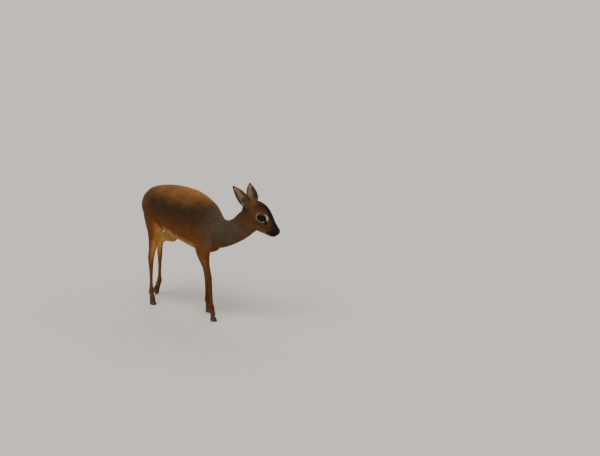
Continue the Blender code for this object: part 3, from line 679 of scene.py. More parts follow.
# halves the skin's edges at the nose, the eyes and the glands
def refine(skin):
    places = np.array([noseTip - 0.004 * forward] + [eyeCentres[side] for side in (1, -1)])
    places = np.concatenate([places, [headPoint(*glandPlace, side * 0.017) for side in (1, -1)]])
    reach = np.array([0.0125, 0.0190, 0.0190, 0.0080, 0.0080])
    away = np.linalg.norm(pointsOf(skin)[:, None] - places, axis=2) - reach
    close = away.min(axis=1) < 0
    fine = bmesh.new()
    fine.from_mesh(skin.data)
    chosen = [edge for edge in fine.edges if close[edge.verts[0].index] and close[edge.verts[1].index]]
    bmesh.ops.subdivide_edges(fine, edges=chosen, cuts=1, use_grid_fill=True)
    bmesh.ops.triangulate(fine, faces=[face for face in fine.faces if len(face.verts) > 4])
    fine.to_mesh(skin.data)
    fine.free()


# small forms of the face, as moves along the normal: brow, gland, nostrils, nose groove, mouth and lip
def sculpted(points, normals):
    behind, level, across = headPlaces(points)
    onHead = (points[:, 2] > 0.24) * ramp(behind, 0.12, 0.10) * (behind > -0.01)
    move = np.zeros(len(points))
    for side in (1, -1):
        reach, slitWay, upWay, outWay = eyeShare(points, side)
        move += 0.0010 * (bell(upWay, 0.0150, 0.0035) * ramp(np.abs(slitWay), 0.017, 0.008) * (outWay > 0))
        pouch = np.exp(-((reach - 1.55) ** 2) / 0.012) * ramp(upWay, 0.0, -0.006) * (outWay > -0.002)
        move -= 0.0005 * pouch
        oval = glandShares(points, side)[0]
        move += -0.0013 * ramp(oval, 1.0, 0.35) + 0.0007 * bell(oval, 1.25, 0.28)
        nostril = nostrilReach(points, side)
        move += -0.0022 * ramp(nostril, 1.1, 0.2) + 0.0006 * bell(nostril, 1.7, 0.45)
    move -= 0.0007 * (bell(across, 0, 0.0006) * ramp(behind, 0.006, 0.003) * ramp(level, 0.001, -0.003))
    overMouth = level - mouthLevel(behind)
    move -= 0.0011 * (bell(overMouth, 0, 0.0007) * ramp(behind, 0.037, 0.032) * (behind > 0.004))
    move += 0.0005 * (bell(overMouth, 0.0026, 0.0018) * ramp(behind, 0.034, 0.024))
    return points + normals * (move * onHead)[:, None]


print("building the skin")
skin = buildSkin()


# an unwrap of the skin's own shape, which the tufts read too
def unwrapSkin():
    bpy.context.view_layer.objects.active = skin
    skin.select_set(True)
    skin.data.uv_layers.new(name="OFBake")
    bpy.ops.object.mode_set(mode="EDIT")
    bpy.ops.mesh.select_all(action="SELECT")
    bpy.ops.uv.smart_project(angle_limit=math.radians(66), island_margin=0.002)
    bpy.ops.object.mode_set(mode="OBJECT")
    skin.select_set(False)


unwrapSkin()
print("skin unwrapped")
skinPoints, skinNormals = pointsOf(skin), normalsOf(skin)
skinCorners = readAll(skin.data.loops, "vertex_index", 1, np.int64).reshape(-1, 3)
skinUv = np.zeros((len(skinCorners), 3, 2))
skinUv = readAll(skin.data.uv_layers["OFBake"].data, "uv", 2).reshape(-1, 3, 2)
setColours(skin, "coatColour", coatColour(skinPoints, skinNormals))
bareLayer = skin.data.attributes.new("bare", "FLOAT", "POINT")
bareLayer.data.foreach_set("value", bareShare(skinPoints, skinNormals).astype(np.float32))


def newMaterial(name, roughness, specular=0.35):
    made = bpy.data.materials.new(name)
    made.use_nodes = True
    shader = made.node_tree.nodes["Principled BSDF"]
    shader.inputs["Roughness"].default_value = roughness
    shader.inputs["Specular IOR Level"].default_value = specular
    return made, made.node_tree.nodes, made.node_tree.links, shader


def addNode(nodes, kind, values=None):
    made = nodes.new("ShaderNode" + kind)
    for name, value in (values or {}).items():
        made.inputs[name].default_value = value
    return made


# a texture that reads object coordinates
def addTexture(nodes, links, kind, values):
    made = addNode(nodes, "Tex" + kind, values)
    links.new(addNode(nodes, "TexCoord").outputs["Object"], made.inputs["Vector"])
    return made


def addAttribute(nodes, name):
    made = addNode(nodes, "Attribute")
    made.attribute_name = name
    return made


# a value from 0 to 1 spread between two others
def addRange(nodes, links, value, low, high):
    made = addNode(nodes, "MapRange", {"To Min": low, "To Max": high})
    links.new(value, made.inputs["Value"])
    return made.outputs["Result"]


# a colour that runs from one shade to another between two positions
def addShade(nodes, links, value, low, high):
    made = addNode(nodes, "ValToRGB")
    for element, (position, shade) in zip(made.color_ramp.elements, (low, high)):
        element.position = position
        element.color = (*shade, 1)
    links.new(value, made.inputs["Fac"])
    return made.outputs["Color"]


def addBump(nodes, links, height, shader, strength, distance):
    bump = addNode(nodes, "Bump", {"Strength": strength, "Distance": distance})
    links.new(height, bump.inputs["Height"])
    links.new(bump.outputs["Normal"], shader.inputs["Normal"])


# a colour times a value
def addScaled(nodes, links, colour, value):
    made = addNode(nodes, "VectorMath")
    made.operation = "SCALE"
    links.new(colour, made.inputs[0])
    links.new(value, made.inputs["Scale"])
    return made.outputs["Vector"]


# a group that breaks a colour up with short, fine streaks and soft blotches
def streakGroup():
    group = bpy.data.node_groups.new("furStreaks", "ShaderNodeTree")
    face = group.interface
    face.new_socket("Colour", in_out="INPUT", socket_type="NodeSocketColor")
    face.new_socket("Scale", in_out="INPUT", socket_type="NodeSocketFloat").default_value = 900.0
    face.new_socket("Amount", in_out="INPUT", socket_type="NodeSocketFloat").default_value = 0.35
    face.new_socket("Colour", in_out="OUTPUT", socket_type="NodeSocketColor")
    face.new_socket("Height", in_out="OUTPUT", socket_type="NodeSocketFloat")
    nodes, links = group.nodes, group.links
    inlet, outlet = nodes.new("NodeGroupInput"), nodes.new("NodeGroupOutput")
    squeeze = addNode(nodes, "Mapping", {"Scale": (0.28, 1.0, 0.34)})
    links.new(addNode(nodes, "TexCoord").outputs["Object"], squeeze.inputs["Vector"])
    hair = addNode(nodes, "TexNoise", {"Detail": 4.0, "Roughness": 0.65})
    links.new(squeeze.outputs["Vector"], hair.inputs["Vector"])
    links.new(inlet.outputs["Scale"], hair.inputs["Scale"])
    spread = addNode(nodes, "MapRange", {"From Min": 0.30, "From Max": 0.70, "To Min": -1.0, "To Max": 1.0})
    links.new(hair.outputs["Fac"], spread.inputs["Value"])
    gain = addNode(nodes, "Math")
    gain.operation = "MULTIPLY_ADD"
    gain.inputs[2].default_value = 1.0
    links.new(spread.outputs["Result"], gain.inputs[0])
    links.new(inlet.outputs["Amount"], gain.inputs[1])
    scaled = addScaled(nodes, links, inlet.outputs["Colour"], gain.outputs["Value"])
    links.new(scaled, outlet.inputs["Colour"])
    links.new(hair.outputs["Fac"], outlet.inputs["Height"])
    return group


streaks = streakGroup()


# the coat's own colour with streaks over it, into a shader
def addCoat(nodes, links, shader, scale, amount):
    group = nodes.new("ShaderNodeGroup")
    group.node_tree = streaks
    group.inputs["Scale"].default_value = scale
    group.inputs["Amount"].default_value = amount
    links.new(addAttribute(nodes, "coatColour").outputs["Color"], group.inputs["Colour"])
    links.new(group.outputs["Colour"], shader.inputs["Base Color"])
    return group


def skinMaterial():
    made, nodes, links, shader = newMaterial("shortFur", 0.78, 0.12)
    group = addCoat(nodes, links, shader, 1500.0, 0.30)
    bare = addAttribute(nodes, "bare")
    links.new(addRange(nodes, links, bare.outputs["Fac"], 0.74, 0.36), shader.inputs["Roughness"])
    grain = addTexture(nodes, links, "Voronoi", {"Scale": 1100.0})
    both = addNode(nodes, "Mix")
    links.new(bare.outputs["Fac"], both.inputs["Factor"])
    links.new(group.outputs["Height"], both.inputs[2])
    links.new(grain.outputs["Distance"], both.inputs[3])
    addBump(nodes, links, both.outputs[0], shader, 0.55, 0.0006)
    return made


def tuftMaterial():
    made, nodes, links, shader = newMaterial("coatHair", 0.66, 0.13)
    addCoat(nodes, links, shader, 2600.0, 0.22)
    return made


furSkin = skinMaterial()
furHair = tuftMaterial()
skin.data.materials.clear()
skin.data.materials.append(furSkin)
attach(skin, "root")
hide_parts(*fleshNodes)
print("skin coloured")


eyeSizes = {"around": 72, "upDown": 48, "pupilWide": 0.0062, "pupilHigh": 0.0036}
eyeShades = {
    "iris": (0.0060, 0.0030, 0.0018),
    "irisEdge": (0.0025, 0.0020, 0.0020),
    "white": (0.010, 0.007, 0.006),
    "pupil": (0.0010, 0.0010, 0.0014),
}


# a ball on a grid of longitude and latitude about the way it looks, coloured by the way from its axis
def buildEye(side, sideName):
    slit, up, out = eyeAxes(side)
    turn = np.linspace(0, 2 * math.pi, eyeSizes["around"], endpoint=False)
    tilt = np.linspace(0, math.pi, eyeSizes["upDown"] + 1)[1:-1]
    ring = np.cos(turn)[None, :, None] * slit + np.sin(turn)[None, :, None] * up
    body = np.sin(tilt)[:, None, None] * ring + np.cos(tilt)[:, None, None] * out
    ball = np.concatenate([out[None], body.reshape(-1, 3), -out[None]])
    points = eyeCentres[side] + drawing["eyeRadius"] * ball
    made = gridBall("eyeBall_" + sideName, points, len(tilt), len(turn))
    local = points - eyeCentres[side]
    slitWay, upWay = local @ slit, local @ up
    pupil = np.sqrt((slitWay / eyeSizes["pupilWide"]) ** 2 + (upWay / eyeSizes["pupilHigh"]) ** 2)
    away = np.sqrt(slitWay**2 + upWay**2)
    angle = np.arctan2(upWay, slitWay)
    colour = np.tile(eyeShades["iris"], (len(points), 1))
    colour *= (1 + 0.35 * np.sin(angle * 31) * np.sin(angle * 17 + 1))[:, None]
    colour = mixed(colour, eyeShades["irisEdge"], ramp(away, 0.0080, 0.0098))
    colour = mixed(colour, eyeShades["white"], ramp(away, 0.0106, 0.0114))
    colour = mixed(colour, eyeShades["pupil"], ramp(pupil, 1.08, 0.94))
    setColours(made, "eyeColour", colour)
    made.data.materials.append(wetEye)
    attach(made, "root")
    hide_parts("eye_" + sideName)


# rings of a grid closed by a fan to its first and last point
def gridBall(name, points, rings, around):
    first = 1 + np.arange(around)
    following = 1 + (np.arange(around) + 1) % around
    caps = [np.stack([np.zeros(around, int), first, following], axis=1)]
    for row in range(rings - 1):
        low, high = first + row * around, first + (row + 1) * around
        lowNext, highNext = following + row * around, following + (row + 1) * around
        caps.append(np.stack([low, high, highNext], axis=1))
        caps.append(np.stack([low, highNext, lowNext], axis=1))
    lastRow = (rings - 1) * around
    caps.append(np.stack([first + lastRow, np.full(around, len(points) - 1), following + lastRow], axis=1))
    made = meshObject(name, points, np.concatenate(caps))
    return outwards(made)


def outwards(made):
    mesh = bmesh.new()
    mesh.from_mesh(made.data)
    bmesh.ops.recalc_face_normals(mesh, faces=mesh.faces)
    mesh.to_mesh(made.data)
    mesh.free()
    made.data.shade_smooth()
    return made


def eyeMaterial():
    made, nodes, links, shader = newMaterial("wetEye", 0.08, 0.10)
    colour = addAttribute(nodes, "eyeColour")
    veins = addTexture(nodes, links, "Noise", {"Scale": 900.0})
    spread = addRange(nodes, links, veins.outputs["Fac"], 0.75, 1.25)
    links.new(addScaled(nodes, links, colour.outputs["Color"], spread), shader.inputs["Base Color"])
    shader.inputs["Coat Weight"].default_value = 0.14
    shader.inputs["Coat Roughness"].default_value = 0.03
    return made


wetEye = eyeMaterial()
for sideName, side in sides:
    buildEye(side, sideName)
print("eyes built")


hoofSizes = {"bevel": 0.0007, "segments": 3, "flatDegrees": 3, "edgeDegrees": 38}


def hoofMaterial():
    made, nodes, links, shader = newMaterial("hoofHorn", 0.45, 0.45)
    rings = addTexture(nodes, links, "Wave", {"Scale": 260.0, "Distortion": 2.5, "Detail": 2.0})
    rings.wave_type = "BANDS"
    rings.bands_direction = "Z"
    dust = addTexture(nodes, links, "Noise", {"Scale": 320.0, "Detail": 5.0}).outputs["Fac"]
    low, high = (0.35, (0.022, 0.014, 0.010)), (0.75, (0.078, 0.052, 0.036))
    links.new(addShade(nodes, links, dust, low, high), shader.inputs["Base Color"])
    links.new(addRange(nodes, links, dust, 0.38, 0.66), shader.inputs["Roughness"])
    addBump(nodes, links, rings.outputs["Fac"], shader, 0.35, 0.0003)
    return made


# half a hoof: its solid with the flat facets merged and the edges worn round
def buildClaw(name, node):
    claw = addObject("claw_" + name.removeprefix("hoof_"), node.data.copy())
    mesh = bmesh.new()
    mesh.from_mesh(claw.data)
    flat = math.radians(hoofSizes["flatDegrees"])
    bmesh.ops.remove_doubles(mesh, verts=mesh.verts, dist=0.00001)
    bmesh.ops.dissolve_limit(mesh, angle_limit=flat, verts=mesh.verts, edges=mesh.edges)
    mesh.to_mesh(claw.data)
    mesh.free()
    bevel = claw.modifiers.new("worn edge", "BEVEL")
    bevel.width = hoofSizes["bevel"]
    bevel.segments = hoofSizes["segments"]
    bevel.limit_method = "ANGLE"
    bevel.angle_limit = math.radians(hoofSizes["edgeDegrees"])
    applyModifiers(claw)
    claw.data.shade_smooth()
    claw.data.materials.clear()
    claw.data.materials.append(hoofHorn)
    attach(claw, "root")
    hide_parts(name)


hoofHorn = hoofMaterial()
for name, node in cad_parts.items():
    if name.startswith("hoof"):
        buildClaw(name, node)
print("hooves built")


# tufts are counted by piece; their lengths and widths in metres go by region
coatPlan = {
    "gridStep": 0.004,
    "quickShare": 4,
    "quickWidth": 1.6,
    "tufts": {
        "saddle": 19000,
        "leftSide": 18500,
        "rightSide": 18500,
        "under": 8500,
        "neckCoat": 18500,
        "faceCoat": 17000,
        "headCoat": 13000,
        "foreLegCoat": 9500,
        "hindLegCoat": 13500,
        "earCoat": 9500,
        "tailCoat": 2200,
    },
    "length": {
        "torso": 0.0098,
        "belly": 0.0092,
        "neck": 0.0088,
        "leg": 0.0050,
        "head": 0.0048,
        "face": 0.0029,
        "ear": 0.0034,
        "tail": 0.0165,
        "foot": 0.0028,
    },
    "width": {
        "torso": 0.00082,
        "belly": 0.00080,
        "neck": 0.00076,
        "leg": 0.00058,
        "head": 0.00048,
        "face": 0.00036,
        "ear": 0.00038,
        "tail": 0.00085,
        "foot": 0.00042,
    },
}


# which way the coat lies: back along the body and down its sides, from nose to nape, down the legs
# and out along the ears
def coatLie(points, normals):
    x, y, z = (points - zero).T
    shares = bodyShares(points, normals)
    sideways = 1 - np.abs(normals[:, 2])
    down = 0.12 + 0.34 * sideways + 0.95 * ramp(x, -0.105, -0.170)
    down = down + 0.45 * ramp(x, 0.090, 0.150) * ramp(z, 0.34, 0.27)
    down = down + 1.3 * ramp(z, 0.262, 0.205)
    parting = 0.10 * np.sign(y) * ramp(normals[:, 2], 0.2, 0.9)
    way = np.stack([-np.ones(len(points)), parting, -down], axis=1)
    shoulder = np.tile([-0.95, -0.12, -0.30], (len(points), 1))
    nape = mixed(shoulder, (-0.72, -0.42, -0.85), ramp(x, 0.19, 0.25))
    way = mixed(way, unit(nape), shares["neck"])
    way = mixed(unit(way), (0.06, 0.0, -1.0), shares["leg"] * (1 - shares["belly"] * (z > 0.205)))
    toes = ramp(x, -0.165, -0.175) * ramp(z, 0.064, 0.050) * (y > 0)
    way = mixed(unit(way), (-0.45, 0.0, -0.90), toes)
    shank = ramp(y, 0.012, 0.024) * ramp(x, -0.098, -0.112) * ramp(z, 0.232, 0.218) * ramp(z, 0.160, 0.172)
    way = mixed(unit(way), (-0.90, 0.0, -0.44), shank)
    way = mixed(way, (-0.55, 0.0, -0.85), shares["tail"])
    _, level, across = headPlaces(points)
    muzzle = np.tile(-forward, (len(points), 1)) - 0.30 * ramp(level, 0.0, -0.02)[:, None] * crown
    way = mixed(unit(way), muzzle, shares["head"])
    for side in (1, -1):
        reach = eyeShare(points, side)[0]
        outward = unit(points - eyeCentres[side])
        way = mixed(unit(way), outward, ramp(reach, 1.75, 1.25) * shares["head"] * (side * across > 0))
        member, _, wide, _ = earPlaces(points, side)
        _, axis, acrossEar, _ = earAxes(side)
        spread = np.sign(wide)[:, None] * acrossEar * 0.35 * ramp(np.abs(wide), 0.0, 0.012)[:, None]
        way = mixed(unit(way), axis + spread, member)
    stray = np.stack([wobble(points, 0.045, seed) for seed in (11, 12, 13)], axis=1)
    way = way + stray * 0.16 * (1 - 0.5 * shares["head"])[:, None]
    return laidFlat(way, normals)


# a length or width by place
def byRegion(table, shares):
    value = table["torso"]
    for region in ("belly", "neck", "leg", "head", "face", "ear", "tail", "foot"):
        value = towards(value, table[region], shares[region])
    return value


triangles = skinPoints[skinCorners]
triangleMiddles = triangles.mean(1)
crossed = np.cross(triangles[:, 1] - triangles[:, 0], triangles[:, 2] - triangles[:, 0])
triangleAreas = np.linalg.norm(crossed, axis=1) / 2
triangleNormals = unit(crossed)
triangleShares = bodyShares(triangleMiddles, triangleNormals)


# roots drawn by weight and area: the triangles stand in a row by a small grid, and even steps pick them
def drawRoots(weight, count, dice):
    cell = np.floor(triangleMiddles / coatPlan["gridStep"]).astype(np.int64)
    row = np.lexsort((triangleMiddles[:, 0], cell[:, 2], cell[:, 1], cell[:, 0]))
    running = np.cumsum((weight * triangleAreas)[row])
    steps = (np.arange(count) + dice.uniform(size=count)) / count * running[-1]
    chosen = row[np.minimum(np.searchsorted(running, steps), len(row) - 1)]
    first, second = np.sqrt(dice.uniform(size=len(chosen))), dice.uniform(size=len(chosen))
    shares = np.stack([1 - first, first * (1 - second), first * second], axis=1)[:, :, None]
    roots = (triangles[chosen] * shares).sum(1)
    normals = unit((skinNormals[skinCorners[chosen]] * shares).sum(1))
    return roots, normals, (skinUv[chosen] * shares).sum(1)


# shares of a tuft's width, length and stand, how deep its root sinks, and its patch in the unwrap
tuftShape = {"foot": 0.8, "thick": 0.42, "bendAt": 0.46, "bendRise": 0.78, "sink": 0.0005, "patch": 0.003}


# a tuft is a lock of seven points: a three-sided ring at the root, another along its bend, and its tip
def growTufts(name, roots, normals, patches, way, length, width, stand, colours):
    across = np.cross(normals, way)
    half, thick = width[:, None] / 2, width[:, None] * tuftShape["thick"]
    long, rise, foot = length[:, None], stand[:, None], tuftShape["foot"]
    base = roots - tuftShape["sink"] * normals
    middle = roots + tuftShape["bendAt"] * long * way + tuftShape["bendRise"] * rise * normals
    tip = roots + long * way + rise * normals
    rings = [base - foot * half * across, base + foot * half * across, base + thick * normals]
    rings += [middle - half * across, middle + half * across, middle + thick * normals, tip]
    points = np.stack(rings, axis=1)
    pattern = [[0, 2, 1], [0, 1, 4], [0, 4, 3], [1, 2, 5], [1, 5, 4]]
    pattern = np.array(pattern + [[2, 0, 3], [2, 3, 5], [3, 4, 6], [4, 5, 6], [5, 3, 6]])
    faces = (np.arange(len(roots)) * 7)[:, None, None] + pattern
    made = meshObject(name, points.reshape(-1, 3), faces.reshape(-1, 3))
    rootColour, midColour, tipColour = colours
    shade = np.stack([rootColour] * 3 + [midColour] * 3 + [tipColour], axis=1)
    setColours(made, "coatColour", shade.reshape(-1, 3))
    patch = [[-0.5, -0.5], [0.5, -0.5], [0, -0.3], [-0.5, 0.1], [0.5, 0.1], [0, 0.25], [0, 0.5]]
    patch = np.array(patch) * tuftShape["patch"]
    uv = np.clip(patches, 0.002, 0.998)[:, None, :] + patch
    layer = made.data.uv_layers.new(name="OFBake")
    layer.data.foreach_set("uv", uv[:, pattern.ravel()].astype(np.float32).ravel())
    made.data.materials.append(furHair)
    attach(made, "root")
    return made


# three colours of each tuft: darker at the root, its own in the middle, and a pale or dark tip where ticked
def tuftColours(roots, normals, shares, dice):
    own = coatColour(roots, normals) * dice.uniform(0.80, 1.22, (len(roots), 1))
    own = own * (1 + 0.10 * wobble(roots, 0.006, 21))[:, None]
    even = np.clip(shares["belly"] + shares["leg"] + shares["ear"] + shares["face"], 0, 1)
    ticked = (0.30 + 0.70 * (1 - even)) * (1 - 0.5 * shares["head"])
    pale = dice.uniform(size=len(roots)) < 0.36
    tip = np.where(pale[:, None], own * 1.5 + np.array([0.050, 0.042, 0.030]), own * 0.55)
    tip = mixed(own * 1.12, tip, ticked)
    return own * 0.62, own, tip


# one piece of the coat, its tufts spread by a weight for each triangle of the skin
def growCoat(name, weight, seed):
    dice = np.random.default_rng(seed)
    count = coatPlan["tufts"][name] // 1
    roots, normals, patches = drawRoots(weight, count, dice)
    shares = bodyShares(roots, normals)
    way = coatLie(roots, normals)
    turn = dice.normal(0, 0.16, len(roots))[:, None]
    way = unit(way * np.cos(turn) + np.cross(normals, way) * np.sin(turn))
    length = byRegion(coatPlan["length"], shares) * dice.uniform(0.72, 1.22, len(roots))
    eyeReach = np.minimum(eyeShare(roots, 1)[0], eyeShare(roots, -1)[0])
    length = length * (0.55 + 0.45 * ramp(eyeReach, 1.15, 2.0))
    width = byRegion(coatPlan["width"], shares) * dice.uniform(0.75, 1.25, len(roots))
    width = width * 1
    stand = np.maximum(coatDepth(roots, normals), 0.0004) * dice.uniform(0.50, 1.10, len(roots))
    stand = np.minimum(stand, 0.42 * length)
    colours = tuftColours(roots, normals, shares, dice)
    made = growTufts(name, roots, normals, patches, way, length, width, stand, colours)
    return made


# the weights that share the skin out between the pieces of the coat
def growAllCoats():
    x, y, z = (triangleMiddles - zero).T
    shares = triangleShares
    bare = bareShare(triangleMiddles, triangleNormals)
    body = (1 - shares["head"]) * (1 - shares["ear"]) * (1 - shares["neck"]) * (z > 0.205)
    body = body * (1 - shares["leg"]) * (shares["tail"] < 0.5)
    top = (triangleNormals[:, 2] > 0.55) & (z > 0.27)
    under = triangleNormals[:, 2] < -0.45
    growCoat("saddle", body * top, 31)
    growCoat("under", body * under, 32)
    growCoat("leftSide", body * ~top * ~under * (y > 0), 33)
    growCoat("rightSide", body * ~top * ~under * (y <= 0), 34)
    growCoat("neckCoat", shares["neck"] * (shares["ear"] < 0.2), 35)
    head = shares["head"] * (shares["ear"] < 0.35) * (bare < 0.4)
    growCoat("faceCoat", head * (shares["face"] > 0.3), 36)
    growCoat("headCoat", head * (shares["face"] <= 0.3), 37)
    legs = shares["leg"] * ramp(footDistance(triangleMiddles), 0.0090, 0.0120)
    legs = legs * ((triangleNormals[:, 2] > -0.7) | (z > 0.04))
    legs = legs * (1 + 0.9 * ramp(z, 0.075, 0.035))
    growCoat("foreLegCoat", legs * (x > 0), 38)
    growCoat("hindLegCoat", legs * (x <= 0), 39)
    growCoat("earCoat", shares["ear"] * (bare < 0.3), 40)
    growCoat("tailCoat", (shares["tail"] > 0.4) * 1.0, 41)


growAllCoats()
print("coat grown")


earHairPlan = {"tufts": 1500, "length": 0.0120, "width": 0.00032, "stand": 0.0030}


# long hair inside the ears, thickest in a pale row towards the inner edge
def growEarHair():
    for sideName, side in sides:
        dice = np.random.default_rng(50 + side)
        member, share, wide, _ = earPlaces(triangleMiddles, side)
        _, axis, across, mouth = earAxes(side)
        facing = triangleNormals @ mouth
        medial = wide / earReach(share) * earMedial(side)
        rows = bell(medial, 0.34, 0.15) * ramp(share, 0.34, 0.46) + bell(medial, 0.86, 0.07)
        rows = rows + 0.45 * bell(medial, -0.45, 0.20) + 0.35 * bell(medial, -0.86, 0.08) + 0.06
        weight = member * (facing > 0.25) * rows * ramp(share, 0.14, 0.26) * ramp(share, 0.90, 0.74)
        count = earHairPlan["tufts"] // 1
        roots, normals, patches = drawRoots(weight, count, dice)
        _, share, wide, _ = earPlaces(roots, side)
        inward = -np.sign(wide)[:, None] * across * 0.35
        way = axis + inward + dice.normal(0, 0.10, (len(roots), 3))
        way = laidFlat(way, normals)
        length = earHairPlan["length"] * dice.uniform(0.5, 1.15, len(roots))
        length = length * (0.45 + 0.55 * ramp(share, 0.95, 0.55))
        width = np.full(len(roots), earHairPlan["width"]) * 1
        stand = earHairPlan["stand"] * dice.uniform(0.3, 1.0, len(roots))
        medial = wide / earReach(share) * earMedial(side)
        pale = np.array(markings["earHair"]) * (0.25 + 0.45 * ramp(medial, -0.3, 0.3))[:, None]
        # each hair takes the inside's colour, painted shade in the hollow included
        own = mixed(earShade(share, medial), pale, 0.45) * dice.uniform(0.55, 1.35, (len(roots), 1))
        colours = (own * 0.7, own, own * 1.1)
        name = "earHair_" + sideName
        hair = growTufts(name, roots, normals, patches, way, length, width, stand, colours)


growEarHair()
print("ear hair grown")


lidSizes = {
    "halfLong": 0.0124,
    "halfHigh": 0.0102,
    "duct": 0.0016,
    "thick": 0.0011,
    "proud": 0.0010,
    "around": 96,
    "section": 12,
}


# the lids' opening by angle: an almond with a pulled-out front corner, laid on a ball over the eye
def lidPath(angle, side, grow=0.0):
    slit, up, out = eyeAxes(side)
    slitWay = (lidSizes["halfLong"] + grow) * np.cos(angle)
    slitWay = slitWay + lidSizes["duct"] * np.clip(np.cos(angle), 0, 1) ** 5
    upWay = (lidSizes["halfHigh"] + grow) * np.sin(angle) * (1 - 0.16 * np.abs(np.cos(angle)) ** 3)
    radius = drawing["eyeRadius"] + lidSizes["proud"]
    outWay = np.sqrt(np.maximum(radius**2 - slitWay**2 - upWay**2, 0.00002))
    return eyeCentres[side] + slitWay[:, None] * slit + upWay[:, None] * up + outWay[:, None] * out


# a round section carried along a closed or open path, with its own size at each step
def tubeAlong(name, path, sizes, normals, section, closed, flat=1.0):
    ahead = np.roll(path, -1, axis=0) - np.roll(path, 1, axis=0)
    if not closed:
        ahead[0], ahead[-1] = path[1] - path[0], path[-1] - path[-2]
    ahead = unit(ahead)
    beside = unit(np.cross(ahead, normals))
    over = np.cross(beside, ahead)
    turn = np.linspace(0, 2 * math.pi, section, endpoint=False)[None, :, None]
    ring = np.cos(turn) * beside[:, None] + flat * np.sin(turn) * over[:, None]
    points = path[:, None] + sizes[:, None, None] * ring
    count = len(path)
    if closed:
        low = np.arange(count)[:, None] * section + np.arange(section)
        high = np.roll(low, -1, axis=0)
        faces = [np.stack([low, np.roll(low, -1, 1), np.roll(high, -1, 1), high], axis=-1).reshape(-1, 4)]
        return outwards(meshObject(name, points.reshape(-1, 3), faces[0]))
    middle = points[1:-1].reshape(-1, 3)
    full = np.concatenate([path[:1], middle, path[-1:]])
    return gridBall(name, full, count - 2, section)


def bareMaterial():
    made, nodes, links, shader = newMaterial("bareSkin", 0.38, 0.45)
    pores = addTexture(nodes, links, "Noise", {"Scale": 700.0, "Detail": 4.0}).outputs["Fac"]
    low, high = (0.3, (0.006, 0.005, 0.005)), (0.8, (0.026, 0.019, 0.017))
    links.new(addShade(nodes, links, pores, low, high), shader.inputs["Base Color"])
    addBump(nodes, links, pores, shader, 0.4, 0.0002)
    return made


bareSkin = bareMaterial()


def buildLids():
    angle = np.linspace(0, 2 * math.pi, lidSizes["around"], endpoint=False)
    for sideName, side in sides:
        path = lidPath(angle, side)
        upper = ramp(np.sin(angle), -0.3, 0.6)
        sizes = lidSizes["thick"] * (0.85 + 0.30 * upper)
        outward = unit(path - eyeCentres[side])
        rim = tubeAlong("lidRim_" + sideName, path, sizes, outward, lidSizes["section"], True, 0.9)
        rim.data.materials.append(bareSkin)
        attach(rim, "root")


# dark spikes of one width, each a single tuft
def growSpikes(name, roots, normals, way, length, stand, plan):
    count = len(roots)
    colour = np.tile(plan["colour"], (count, 1))
    patches, width = np.full((count, 2), 0.5), np.full(count, plan["width"])
    made = growTufts(name, roots, normals, patches, way, length, width, stand, [colour] * 3)


lashPlan = {
    "count": 46,
    "angles": (0.55, 2.80),
    "shortest": 0.0030,
    "swell": 0.0026,
    "width": 0.00030,
    "colour": (0.010, 0.008, 0.007),
}


# each lash is a bent spike of seven points along the upper lid, longer towards the middle and back
def buildLashes():
    for sideName, side in sides:
        dice = np.random.default_rng(60 + side)
        count = lashPlan["count"]
        angle = np.linspace(*lashPlan["angles"], count) + dice.normal(0, 0.02, count)
        slit, _, out = eyeAxes(side)
        roots = lidPath(angle, side, 0.0004)
        outward = unit(roots - eyeCentres[side])
        roots = roots + outward * 0.0009
        away = laidFlat(roots - eyeCentres[side], out)
        way = unit(0.72 * away + 0.55 * out - 0.30 * slit + dice.normal(0, 0.05, (count, 3)))
        normals = unit(np.cross(np.cross(way, away), way) + 1e-6)
        swell = np.sin((angle - 0.45) / 2.3 * math.pi)
        length = (lashPlan["shortest"] + lashPlan["swell"] * swell) * dice.uniform(0.8, 1.1, count)
        growSpikes("lashes_" + sideName, roots, normals, way, length, length * 0.10, lashPlan)


buildLids()
buildLashes()
print("lids and lashes built")

# offsets from a foot's middle, backwards and upwards, for a foot on its sole and for the one on its toe
falseHoofPlan = {
    "footOnToe": 2,
    "flat": (-0.0185, 0.0290),
    "tipped": (0.0085, 0.0300),
    "apart": 0.0044,
    "length": 0.0056,
    "radius": 0.0020,
}


# each false hoof is a small drop on a bent path: its radius swells as a sine and closes at both ends
def buildFalseHooves():
    for number, middle in enumerate(footCentres):
        tipped = number == falseHoofPlan["footOnToe"]
        back, rise = falseHoofPlan["tipped" if tipped else "flat"]
        down = np.array([-0.80, 0.0, -0.60]) if tipped else np.array([-0.30, 0.0, -0.95])
        for side in (1, -1):
            guess = middle + np.array([back, side * falseHoofPlan["apart"], rise])
            nearest = np.argmin(distance(skinPoints, guess))
            root, normal = skinPoints[nearest], skinNormals[nearest]
            step = np.linspace(0, 1, 12)[:, None]
            way = unit(down + 0.25 * normal + np.array([0, 0.12 * side, 0]))
            path = root - 0.0006 * normal + step * falseHoofPlan["length"] * way
            path = path + 0.0014 * np.sin(np.pi * step * 0.6) * normal
            sizes = falseHoofPlan["radius"] * np.sin(np.pi * np.clip(step[:, 0], 0.02, 0.98) ** 0.8) ** 0.7
            name = f"falseHoof_{number + 1}_" + ("left" if side > 0 else "right")
            drop = tubeAlong(name, path, sizes, np.tile([0.0, 1.0, 0.0], (12, 1)), 14, False)
            drop.data.materials.append(hoofHorn)
            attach(drop, "root")


whiskerPlan = {"lip": 11, "chin": 4, "length": 0.0165, "width": 0.00026, "colour": (0.012, 0.009, 0.008)}


